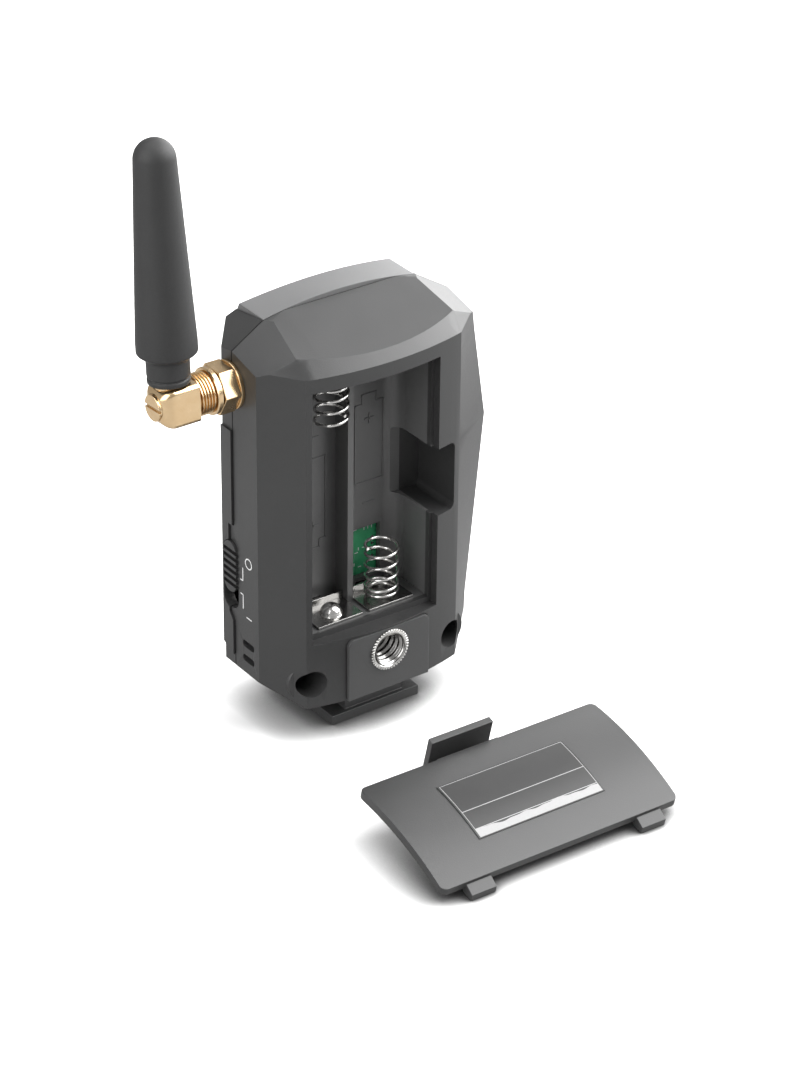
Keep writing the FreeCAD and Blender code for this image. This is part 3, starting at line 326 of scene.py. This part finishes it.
def fromBmesh(name, work, smoothAngle=35):
    mesh = bpy.data.meshes.new(name)
    bmesh.ops.recalc_face_normals(work, faces=work.faces)
    work.to_mesh(mesh)
    work.free()
    for face in mesh.polygons:
        face.use_smooth = True
    mesh.set_sharp_from_angle(angle=math.radians(smoothAngle))
    return mesh


def localBox(node, place):
    # lowest and highest corner of a CAD node, seen in a local frame
    back = place.inverted()
    points = [back @ vertex.co for vertex in frame["nodes"][node].data.vertices]
    low = Vector([min(point[axis] for point in points) for axis in range(3)])
    high = Vector([max(point[axis] for point in points) for axis in range(3)])
    return low, high


def camel(node):
    # the piece name of a CAD node, such as rearShell for rear_shell
    words = node.split("_")
    return words[0] + "".join(word.capitalize() for word in words[1:])


def refine(node, name, width=0.18 * mm, segments=2, angle=24, material=None):
    # the CAD piece with its sharp edges rounded, so that they catch the light
    work = bmesh.new()
    work.from_mesh(frame["nodes"][node].data)
    bmesh.ops.remove_doubles(work, verts=work.verts, dist=2e-6)
    bmesh.ops.dissolve_limit(work, angle_limit=math.radians(0.6), verts=work.verts, edges=work.edges)
    work.edges.ensure_lookup_table()
    sharp = []
    for edge in work.edges:
        if len(edge.link_faces) == 2 and edge.calc_face_angle(0) > math.radians(angle):
            sharp.append(edge)
    bmesh.ops.bevel(work, geom=sharp, offset=width, offset_type="OFFSET", segments=segments,
                    profile=0.5, affect="EDGES", clamp_overlap=True)
    bmesh.ops.triangulate(work, faces=[face for face in work.faces if len(face.verts) > 4])
    mesh = fromBmesh(name, work, 30)
    piece = addPiece(name, mesh, bodyOf[node], slotOf[node], material, (node,))
    weighted = piece.modifiers.new("Weighted", "WEIGHTED_NORMAL")
    weighted.keep_sharp = True
    weighted.weight = 80
    return piece


def bridge(work, rings, inward=False):
    # faces between closed rings of corners
    for first, second in zip(rings, rings[1:]):
        for step in range(len(first)):
            after = (step + 1) % len(first)
            if inward:
                work.faces.new((first[step], second[step], second[after], first[after]))
            else:
                work.faces.new((first[step], first[after], second[after], second[step]))


def lathe(name, outline, place, body, slot, steps=64, stands=(), shape=None, material=None):
    # turns (radius, height) points about the local Z axis; shape may vary the radius with angle
    work = bmesh.new()
    rings = []
    for radius, height in outline:
        ring = []
        for step in range(steps):
            angle = math.tau * step / steps
            turned = shape(radius, height, angle) if shape else radius
            spot = Vector((turned * math.cos(angle), turned * math.sin(angle), height))
            ring.append(work.verts.new(place @ spot))
        rings.append(ring)
    bridge(work, rings)
    for ring, radius in ((rings[0], outline[0][0]), (rings[-1], outline[-1][0])):
        if radius > 0 and outline[0] != outline[-1]:
            work.faces.new(ring)
    bmesh.ops.remove_doubles(work, verts=work.verts, dist=1e-7)
    return addPiece(name, fromBmesh(name, work), body, slot, material, stands)


def rounded(points, radius, steps=3):
    # rounds the corners of an open outline of (radius, height) points
    result = [points[0]]
    for before, corner, after in zip(points, points[1:], points[2:]):
        corner2 = Vector(corner)
        toBefore = Vector(before) - corner2
        toAfter = Vector(after) - corner2
        reach = min(radius, toBefore.length * 0.45, toAfter.length * 0.45)
        start = corner2 + toBefore.normalized() * reach
        end = corner2 + toAfter.normalized() * reach
        for step in range(steps + 1):
            share = step / steps
            spot = start.lerp(corner2, share).lerp(corner2.lerp(end, share), share)
            result.append((spot.x, spot.y))
    result.append(points[-1])
    return result


def tube(name, points, radius, body, slot, sides=12, stands=(), material=None):
    # a round wire along a list of points, with closed ends
    work = bmesh.new()
    rings = []
    across = None
    for index, point in enumerate(points):
        ahead = points[min(index + 1, len(points) - 1)] - points[max(index - 1, 0)]
        ahead.normalize()
        if across is None:
            across = ahead.orthogonal().normalized()
        across = (across - ahead * across.dot(ahead)).normalized()
        side = ahead.cross(across)
        ring = []
        for step in range(sides):
            angle = math.tau * step / sides
            outward = across * math.cos(angle) + side * math.sin(angle)
            ring.append(work.verts.new(point + outward * radius))
        rings.append(ring)
    bridge(work, rings)
    work.faces.new(rings[0])
    work.faces.new(rings[-1])
    return addPiece(name, fromBmesh(name, work, 60), body, slot, material, stands)


def strip(points, width):
    # the outline of a line of even width through points, for printed and raised lines
    left = []
    right = []
    for index, point in enumerate(points):
        here = Vector(point)
        before = Vector(points[max(index - 1, 0)])
        after = Vector(points[min(index + 1, len(points) - 1)])
        heading = (after - before).normalized()
        if 0 < index < len(points) - 1:
            first = (here - before).normalized()
            second = (after - here).normalized()
            grow = 1 / max(0.3, math.cos(first.angle(second) / 2))
        else:
            grow = 1
        side = Vector((-heading.y, heading.x)) * width / 2 * grow
        left.append(tuple(here + side))
        right.append(tuple(here - side))
    return left + right[::-1]


def circle(x, y, radius, steps):
    # corners of a round outline
    return [(x + radius * math.cos(math.tau * step / steps), y + radius * math.sin(math.tau * step / steps))
            for step in range(steps)]


def frameAt(origin, xAxis, yAxis):
    zAxis = xAxis.cross(yAxis)
    turn = Matrix((xAxis, yAxis, zAxis)).transposed()
    return Matrix.Translation(origin) @ turn.to_4x4()


# local frames of the faces that carry details: x, y along the face and z out of it
backFace = (Vector((1, 0, 0)), Vector((0, 0, 1)))
leftFace = (Vector((0, -1, 0)), Vector((0, 0, 1)))

# width of the rounded edges, in mm
shellEdges = {"rear_shell": 0.16, "front_shell": 0.16, "front_panel": 0.2, "tripod_block": 0.16,
              "shoe_foot": 0.2, "port_cover": 0.2, "power_slide_thumb": 0.16, "battery_door": 0.18}


def casingShells():
    for node, width in shellEdges.items():
        # the tripod block gets the paler copy of the casing plastic, painted light
        refine(node, camel(node), width * mm, material=blockPlastic if node == "tripod_block" else None)


def raised(name, pieces, place, body, slot, material=None):
    # several flat outlines, each (outline, low, high), as one raised or printed piece
    work = bmesh.new()
    for outline, bottom, top in pieces:
        low = [work.verts.new((x, y, bottom)) for x, y in outline]
        high = [work.verts.new((x, y, top)) for x, y in outline]
        work.faces.new(low[::-1])
        work.faces.new(high)
        for index in range(len(outline)):
            after = (index + 1) % len(outline)
            work.faces.new((low[index], low[after], high[after], high[index]))
    bmesh.ops.transform(work, matrix=place, verts=work.verts)
    return addPiece(name, fromBmesh(name, work, 30), body, slot, material)


# left, right, low, high and nub of each cell's outline on the floor of the bay
cellOutlines = {"right": (1.5, 7.4, 41.1, 56.5, 58.3), "left": (-10, -4.7, 32.8, 49, 31.2)}
bayLines = {"tall": 0.14 * mm, "sunk": -0.05 * mm, "line": 0.28 * mm, "away": 4.2 * mm, "sign": 3 * mm,
            "minus": 1.2 * mm, "plus": 1 * mm}


def bayMarks():
    # raised outlines of the two cells on the floor of the bay, with their signs
    strokes = []
    for outline in cellOutlines.values():
        left, right, low, high, nub = (size * mm for size in outline)
        first = left + (right - left) * 0.24
        last = left + (right - left) * 0.76
        across = (left + right) / 2
        # the cell's body runs from base to shoulder, and the nub is past the shoulder
        up = nub > high
        base, shoulder = (low, high) if up else (high, low)
        toward = 1 if up else -1
        path = [(left, base), (right, base), (right, shoulder), (last, shoulder), (last, nub), (first, nub),
                (first, shoulder), (left, shoulder), (left, base)]
        strokes += zip(path, path[1:])
        minus = base - toward * bayLines["away"]
        plus = shoulder - toward * bayLines["sign"]
        strokes.append(((across - bayLines["minus"], minus), (across + bayLines["minus"], minus)))
        strokes.append(((across - bayLines["plus"], plus), (across + bayLines["plus"], plus)))
        strokes.append(((across, plus - bayLines["plus"]), (across, plus + bayLines["plus"])))
    pieces = [(strip(stroke, bayLines["line"]), bayLines["sunk"], bayLines["tall"]) for stroke in strokes]
    raised("bayMarks", pieces, frameAt(Vector((0, 0, 0)), *backFace), "casing", "case_plastic")


# across, height and length of each white bar, and whether it stands upright
boardBars = ((2.1, 30.9, 0.9, 0), (4.6, 30.4, 0.55, 1), (5.4, 30.4, 0.55, 1), (6.2, 30.4, 0.55, 1),
             (1.8, 26.6, 0.6, 1), (2.6, 26.2, 0.7, 0), (3.4, 26.6, 0.6, 1), (4.2, 26.9, 0.6, 0),
             (1.7, 23.6, 0.6, 1), (2.5, 23.6, 0.6, 1), (3.3, 23.2, 0.7, 0), (5.2, 23.9, 1.4, 0))
boardPads = {"left": 1.75 * mm, "low": 24.6 * mm, "across": 4.6 * mm, "apart": 1.3 * mm, "round": 0.3 * mm,
             "tall": 0.035 * mm, "line": 0.17 * mm, "ink": 0.02 * mm}


def boardDetails():
    # the board, with silver pads and short white bars where the bay's window shows it
    refine("main_board", "mainBoard", 0.06 * mm, 1)
    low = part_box("main_board")[0]
    onBoard = frameAt(Vector((0, low.y, 0)), *backFace)
    bars = []
    for across, tall, long, upright in boardBars:
        end = (across, tall + long) if upright else (across + long, tall)
        stroke = [(across * mm, tall * mm), (end[0] * mm, end[1] * mm)]
        bars.append((strip(stroke, boardPads["line"]), 0, boardPads["ink"]))
    raised("boardLegend", bars, onBoard, "casing", "board_green", whiteInk)
    pads = []
    for row in range(4):
        for column in range(2):
            x = boardPads["left"] + column * boardPads["across"]
            y = boardPads["low"] + row * boardPads["apart"]
            pads.append((circle(x, y, boardPads["round"], 16), 0, boardPads["tall"]))
    raised("boardPads", pads, onBoard, "casing", "nickel")


sideInk = {"line": 0.2 * mm, "thick": 0.015 * mm, "upright": 0.2 * mm, "foot": 0.8 * mm, "symbol": 2.0 * mm,
           "upper": (29.8 * mm, 32.4 * mm), "lower": (24.2 * mm, 27.0 * mm), "off": 33.9 * mm,
           "on": 22.9 * mm, "ring": 0.95 * mm, "bar": 0.8 * mm}


def sideMarks():
    # two brackets that show how far the thumb slides, with a ring for off and a bar for on
    wall = frameAt(Vector((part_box("rear_shell")[0].x, 0, 0)), *leftFace)
    upright = sideInk["upright"]
    strokes = []
    # the upper bracket has its foot at the bottom, the lower one at the top
    for span, end in (("upper", 0), ("lower", 1)):
        bottom, top = sideInk[span]
        level = sideInk[span][end]
        strokes.append(((upright, bottom), (upright, top)))
        strokes.append(((upright - sideInk["foot"], level), (upright, level)))
    strokes.append(((sideInk["symbol"] - sideInk["bar"], sideInk["on"]),
                    (sideInk["symbol"] + sideInk["bar"], sideInk["on"])))
    ring = circle(sideInk["symbol"], sideInk["off"], sideInk["ring"], 24)
    strokes += zip(ring, ring[1:] + ring[:1])
    pieces = [(strip(stroke, sideInk["line"]), 0, sideInk["thick"]) for stroke in strokes]
    raised("switchMarks", pieces, wall, "casing", "case_plastic", whiteInk)


insertSet = {"teeth": 42, "notch": 0.5 * mm, "pitch": 1.27 * mm, "deep": 0.42 * mm, "bore": 2.62 * mm,
             "shoulder": 0.6 * mm, "flange": 0.4 * mm, "mouth": 0.3 * mm, "inset": 0.02 * mm,
             "level": 0.07 * mm}


def insertFlange(place, flange, long):
    # serrated rim, plain barrel and the wall behind the thread
    inset = insertSet["inset"]
    mouth = insertSet["bore"] + insertSet["deep"]
    barrel = flange - insertSet["shoulder"]

    def serrated(radius, height, angle):
        if radius < flange - 0.5 * mm or height > 0.5 * mm:
            return radius
        wave = abs((angle * insertSet["teeth"] / math.tau) % 1 - 0.5) * 2
        return radius - insertSet["notch"] * (1 - min(1, wave * 1.7))

    outline = [(mouth, insertSet["mouth"]), (mouth + 0.33 * mm, inset), (flange - 0.12 * mm, inset),
               (flange, 0.16 * mm), (flange, insertSet["flange"]), (barrel, insertSet["flange"] + inset),
               (barrel, long), (mouth, long), (mouth, insertSet["mouth"])]
    lathe("insertFlange", rounded(outline, 0.1 * mm, 2), place, "casing", "nickel", 336, ("tripod_insert",),
          serrated)


def insertThread(place, long):
    # the bore's wall, wound with a thread of 20 to the inch
    steps = 72
    inset = insertSet["inset"]
    levels = int(long / insertSet["level"])
    work = bmesh.new()
    rings = []
    for level in range(levels + 1):
        height = inset + (long - 2 * inset) * level / levels
        ring = []
        for step in range(steps):
            angle = math.tau * step / steps
            turn = (height / insertSet["pitch"] - angle / math.tau) % 1
            wave = min(1, max(0, 1.25 - abs(turn - 0.5) * 3.2))
            if height < insertSet["mouth"]:
                wave = 1
            radius = insertSet["bore"] + insertSet["deep"] * wave
            spot = Vector((radius * math.cos(angle), radius * math.sin(angle), height))
            ring.append(work.verts.new(place @ spot))
        rings.append(ring)
    bridge(work, rings, True)
    mesh = bpy.data.meshes.new("insertThread")
    work.to_mesh(mesh)
    work.free()
    for face in mesh.polygons:
        face.use_smooth = True
    # the thread gets the darker nickel, painted shade
    addPiece("insertThread", mesh, "casing", "nickel", dullNickel)


def threadedInsert():
    low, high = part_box("tripod_insert")
    middle = (low + high) / 2
    place = frameAt(Vector((middle.x, low.y, middle.z)), Vector((1, 0, 0)), Vector((0, 0, -1)))
    insertFlange(place, (high.x - low.x) / 2, high.y - low.y)
    insertThread(place, high.y - low.y)


def coil(name, node, wire, counts, heights):
    # a wound spring; counts are turns per stretch and heights the shares of its height each takes
    low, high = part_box(node)
    middle = (low + high) / 2
    radius = (high.x - low.x) / 2 - wire
    points = []
    start = low.z + wire
    reach = high.z - low.z - 2 * wire
    turned = 0.0
    for count, (bottom, top) in zip(counts, heights):
        steps = int(count * 28)
        for step in range(steps + 1):
            share = step / steps
            angle = math.tau * (turned + count * share)
            points.append(Vector((middle.x + radius * math.cos(angle), middle.y + radius * math.sin(angle),
                                  start + reach * (bottom + (top - bottom) * share))))
        turned += count
    tidied = [points[0]]
    for point in points[1:]:
        if (point - tidied[-1]).length > 1e-6:
            tidied.append(point)
    return tube(name, tidied, wire, bodyOf[node], slotOf[node], 14, (node,))


springWire = {"battery": 0.29 * mm, "pin": 0.12 * mm}
batterySprings = (
    ("lowBatterySpring", "low_battery_spring", (1.6, 3.4, 0.5), ((0, 0.16), (0.16, 0.97), (0.97, 1))),
    ("highBatterySpring", "high_battery_spring", (0.5, 2.9, 1.2), ((0, 0.03), (0.03, 0.86), (0.86, 1))),
)


def batteryContacts():
    for name, node, counts, heights in batterySprings:
        coil(name, node, springWire["battery"], counts, heights)
    pinSpring = coil("contactPinSpring", "contact_pin_spring", springWire["pin"], (4,), ((0, 1),))
    low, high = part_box("contact_pin_spring")
    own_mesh(pinSpring)
    for node in ("plus_contact_plate", "minus_contact_plate", "top_contact_link"):
        # the plates get the darker nickel, painted shade
        refine(node, camel(node), 0.07 * mm, 2, material=dullNickel)
    low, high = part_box("plus_contact_dimple")
    middle = (low + high) / 2
    place = Matrix.Translation(Vector((middle.x, middle.y, low.z)))
    radius = (high.x - low.x) / 2
    tall = high.z - low.z
    outline = [(radius, 0)]
    for step in range(1, 13):
        angle = math.pi / 2 * step / 12
        outline.append((radius * 0.93 * math.cos(angle) if step < 12 else 0.0, tall * math.sin(angle)))
    lathe("plusContactDimple", outline, place, "casing", "nickel", 48, ("plus_contact_dimple",))


doorSet = {"turn": -1.3, "tilt": 14.0, "half": 12.75 * mm, "crown": 1.5 * mm}
labelSet = {"margin": 0.35 * mm, "rules": (-0.6 * mm, -4.6 * mm), "rule": 0.14 * mm, "edge": 0.1 * mm,
            "low": 0.2 * mm, "high": 0.25 * mm, "ink": 0.008 * mm, "band": 0.01 * mm, "bandLow": 0.3 * mm}


def doorLabel():
    # bare dark label with thin rules and a silver band along its lower edge
    turned = Matrix.Rotation(math.radians(doorSet["turn"]), 4, "Z")
    turned = turned @ Matrix.Rotation(math.radians(doorSet["tilt"]), 4, "X")
    low, high = localBox("door_label", turned)
    radius = (doorSet["half"] ** 2 + doorSet["crown"] ** 2) / (2 * doorSet["crown"])
    centre = (low.y + high.y) / 2
    top = high.z

    def surface(y):
        return top - (radius - math.sqrt(radius ** 2 - (y - centre) ** 2))

    def patch(work, left, right, bottomOf, topOf, lift, columns, rows):
        grid = []
        for column in range(columns + 1):
            x = left + (right - left) * column / columns
            bottom = bottomOf(x)
            upper = topOf(x)
            line = []
            for row in range(rows + 1):
                y = bottom + (upper - bottom) * row / rows
                line.append(work.verts.new(turned @ Vector((x, y, surface(y) + lift))))
            grid.append(line)
        for first, second in zip(grid, grid[1:]):
            for row in range(rows):
                work.faces.new((first[row], second[row], second[row + 1], first[row + 1]))

    def constant(level):
        return lambda x: level

    refine("door_label", "doorLabel", 0.05 * mm, 1)
    left = low.x + labelSet["margin"]
    right = high.x - labelSet["margin"]
    edge = labelSet["edge"]
    ink = labelSet["ink"]
    bottom = low.y + labelSet["low"]
    sideEnd = high.y - labelSet["high"]
    rules = bmesh.new()
    for level in labelSet["rules"]:
        level += centre
        patch(rules, left, right, constant(level), constant(level + labelSet["rule"]), ink, 1, 2)
    for level in (bottom, high.y - labelSet["margin"]):
        patch(rules, left, right, constant(level), constant(level + edge), ink, 1, 2)
    for across in (left, right - edge):
        patch(rules, across, across + edge, constant(bottom), constant(sideEnd), ink, 1, 24)
    addPiece("labelRules", fromBmesh("labelRules", rules), "door", "label_film", silverInk)
    band = bmesh.new()

    def skyline(x):
        share = (x - left) / (right - left)
        hills = 0
        for count, start, tall in ((21, 0, 0.25), (47, 1, 0.14), (9, 2, 0.2)):
            hills += math.sin(share * count + start) * tall
        return low.y + (1.75 + hills * 0.55) * mm

    patch(band, left, right, constant(low.y + labelSet["bandLow"]), skyline, labelSet["band"], 90, 4)
    addPiece("labelBand", fromBmesh("labelBand", band), "door", "label_film", silverInk)


# width of the rounded edges, in mm
antennaEdges = {"antenna_elbow": 0.22, "elbow_cap": 0.1, "antenna_nut": 0.28, "antenna_washer": 0.08,
                "antenna_jack": 0.08, "whip_stub": 0.06}
collarSet = {"bore": 3.2 * mm, "depth": 0.9 * mm, "edge": 0.2 * mm, "rim": 0.9 * mm, "first": 1.3 * mm,
             "pitch": 0.56 * mm, "ridge": 0.45 * mm, "ridges": 5}


def antennaParts():
    # elbow, cap, nut and washer with soft edges, the sheath, and a collar with five rolled ridges
    for node, width in antennaEdges.items():
        refine(node, camel(node), width * mm, 3)
    refine("antenna_sheath", "antennaSheath", 0.25 * mm, 3, 32)
    low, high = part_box("coupling_collar")
    middle = (low + high) / 2
    outer = (high.z - low.z) / 2
    long = high.x - low.x
    place = frameAt(Vector((high.x, middle.y, middle.z)), Vector((0, 1, 0)), Vector((0, 0, -1)))
    bore = collarSet["bore"]
    core = outer - collarSet["depth"]
    edge = collarSet["edge"]
    rim = collarSet["rim"]
    outline = [(bore, 0.0), (outer - edge, 0.0), (outer, edge), (outer, rim), (outer - edge, rim + edge),
               (core, rim + edge + 0.05 * mm)]
    for index in range(collarSet["ridges"]):
        start = collarSet["first"] + index * collarSet["pitch"]
        crest = core + collarSet["ridge"]
        outline += [(core, start), (crest, start + 0.16 * mm), (crest, start + 0.34 * mm),
                    (core, start + 0.5 * mm)]
    outline += [(core, long), (bore, long), (bore, 0.0)]
    lathe("couplingCollar", outline, place, bodyOf["coupling_collar"], "gold", 96, ("coupling_collar",))


heads = {"head": 2.2 * mm, "arm": 0.34 * mm, "reach": 1.25 * mm, "deep": 0.7 * mm, "dome": 0.35 * mm,
         "inset": 0.02 * mm, "rings": 24, "steps": 96}


def screwHeads():
    # pan heads with a cross recess, sunk in the two deep holes
    refine("case_screws", "caseScrews", 0.1 * mm, 2)
    low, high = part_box("case_screws")
    middle = (low + high) / 2
    for side, name in ((-1, "screwHeadLeft"), (1, "screwHeadRight")):
        across = middle.x + side * ((high.x - low.x) / 2 - heads["head"])
        place = frameAt(Vector((across, low.y, middle.z)), *backFace)
        work = bmesh.new()
        rings = []
        for ring in range(1, heads["rings"] + 1):
            radius = heads["head"] * 0.98 * ring / heads["rings"]
            line = []
            for step in range(heads["steps"]):
                angle = math.tau * step / heads["steps"]
                x = radius * math.cos(angle)
                y = radius * math.sin(angle)
                inArm = min(abs(x), abs(y)) < heads["arm"] and max(abs(x), abs(y)) < heads["reach"]
                height = -heads["dome"] * (ring / heads["rings"]) ** 2 - heads["inset"]
                if inArm:
                    height -= heads["deep"]
                line.append(work.verts.new(place @ Vector((x, y, height))))
            rings.append(line)
        bridge(work, rings, True)
        work.faces.new(rings[0][::-1])
        addPiece(name, fromBmesh(name, work, 50), "casing", "dark_steel")


def otherPieces():
    # the pieces that are seen little or not at all: the CAD piece with its edges rounded
    for node in frame["nodes"]:
        if node in slotOf and node not in standing:
            refine(node, camel(node), 0.07 * mm, 1, 28)


casingShells()
bayMarks()
boardDetails()
sideMarks()
threadedInsert()
batteryContacts()
doorLabel()
antennaParts()
screwHeads()
otherPieces()
print("pieces done")


view = {"azimuth": 35.9, "elevation": 30.05, "roll": 0.68, "distance": 0.63318, "lens": 120.7,
        "target": (0.01086, -0.0007, 0.02863)}
stage = {"half": 6.0, "reach": 0.0085, "falloff": 2.2, "bounce": 0.34, "diffuse": 0.3, "glossy": 0.45,
         "bright": 0.2, "rise": 3}
lamps = {
    "key": {"place": (0.6, -0.38, 0.7), "size": 1.05, "power": 21.0},
    "fill": {"place": (-1.0, -0.08, 0.5), "size": 1.3, "power": 18.0},
    "top": {"place": (-0.1, 0.3, 1.2), "size": 0.7, "power": 6.0},
    "side": {"place": (0.9, 0.16, 0.2), "size": 1.3, "power": 27.0},
}


def stageAndLight():
    floor = bpy.data.meshes.new("floor")
    corners = [(x * stage["half"], y * stage["half"], 0) for x, y in ((-1, -1), (1, -1), (1, 1), (-1, 1))]
    floor.from_pydata(corners, [], [(0, 1, 2, 3)])
    floorObject = bpy.data.objects.new("floor", floor)
    scene.collection.objects.link(floorObject)
    # the eye sees white paper with a painted shadow close under the object; reflections see it greyer
    paper = Finish("floorPaper", {"Roughness": 0.9, "Specular IOR Level": 0.1})
    contactShadow = paper.wire("ShaderNodeAmbientOcclusion", {"samples": 12}, {"Distance": stage["reach"]}, "AO")
    shade = paper.maths("POWER", contactShadow, stage["falloff"])
    paths = paper.node("ShaderNodeLightPath")
    bounced = grey(stage["bounce"])
    paperWithShadow = paper.mix(shade, grey(0.01), grey(0.9))
    watched = Wire(paper, paths.outputs["Is Camera Ray"])
    paper.feed("Base Color", paper.mix(watched, bounced, paperWithShadow))
    # lifted further out, where the lamps no longer reach
    away = paper.node("ShaderNodeVectorMath", {"operation": "LENGTH"}, {0: paper.place()})
    outside = (Wire(paper, away.outputs["Value"]) - stage["bright"]) * stage["rise"]
    far = paper.maths("MINIMUM", paper.maths("MAXIMUM", outside, 0), 1)
    lift = paper.wire("ShaderNodeEmission", None, {"Color": grey(1), "Strength": far * watched})
    both = paper.wire("ShaderNodeAddShader", None, {0: Wire(paper, paper.shader.outputs[0]), 1: lift})
    paper.tree.links.new(both.socket, paper.output.inputs["Surface"])
    floor.materials.append(paper.material)

    world = bpy.data.worlds.new("studio")
    scene.world = world
    world.use_nodes = True
    tree = world.node_tree
    background = tree.nodes["Background"]
    background.inputs["Color"].default_value = (1, 1, 1, 1)
    paths = tree.nodes.new("ShaderNodeLightPath")
    strength = tree.nodes.new("ShaderNodeMath")
    strength.operation = "MULTIPLY_ADD"
    tree.links.new(paths.outputs["Is Glossy Ray"], strength.inputs[0])
    strength.inputs[1].default_value = stage["glossy"] - stage["diffuse"]
    strength.inputs[2].default_value = stage["diffuse"]
    seen = tree.nodes.new("ShaderNodeMath")
    seen.operation = "MAXIMUM"
    tree.links.new(paths.outputs["Is Camera Ray"], seen.inputs[0])
    tree.links.new(strength.outputs[0], seen.inputs[1])
    tree.links.new(seen.outputs[0], background.inputs["Strength"])

    for name, lamp in lamps.items():
        light = bpy.data.lights.new(name, "AREA")
        light.size = lamp["size"]
        light.energy = lamp["power"]
        lightObject = bpy.data.objects.new(name, light)
        scene.collection.objects.link(lightObject)
        lightObject.location = lamp["place"]
        toward = Vector((0, 0, 0.04)) - Vector(lamp["place"])
        lightObject.rotation_euler = toward.to_track_quat("-Z", "Y").to_euler()
    scene.view_settings.view_transform = "Standard"


def camera():
    data = bpy.data.cameras.new("camera")
    data.sensor_fit = "VERTICAL"
    data.sensor_height = 36
    data.lens = view["lens"]
    data.clip_start = 0.01
    azimuth, elevation, roll = (math.radians(view[key]) for key in ("azimuth", "elevation", "roll"))
    back = Vector((-math.sin(azimuth) * math.cos(elevation), -math.cos(azimuth) * math.cos(elevation),
                   math.sin(elevation)))
    level = Vector((math.cos(azimuth), -math.sin(azimuth), 0))
    upright = back.cross(level)
    right = level * math.cos(roll) + upright * math.sin(roll)
    up = upright * math.cos(roll) - level * math.sin(roll)
    holder = bpy.data.objects.new("camera", data)
    scene.collection.objects.link(holder)
    turn = Matrix((right, up, back)).transposed()
    eye = Vector(view["target"]) + back * view["distance"]
    holder.matrix_world = Matrix.Translation(eye) @ turn.to_4x4()
    scene.camera = holder


stageAndLight()
camera()
print("stage done")
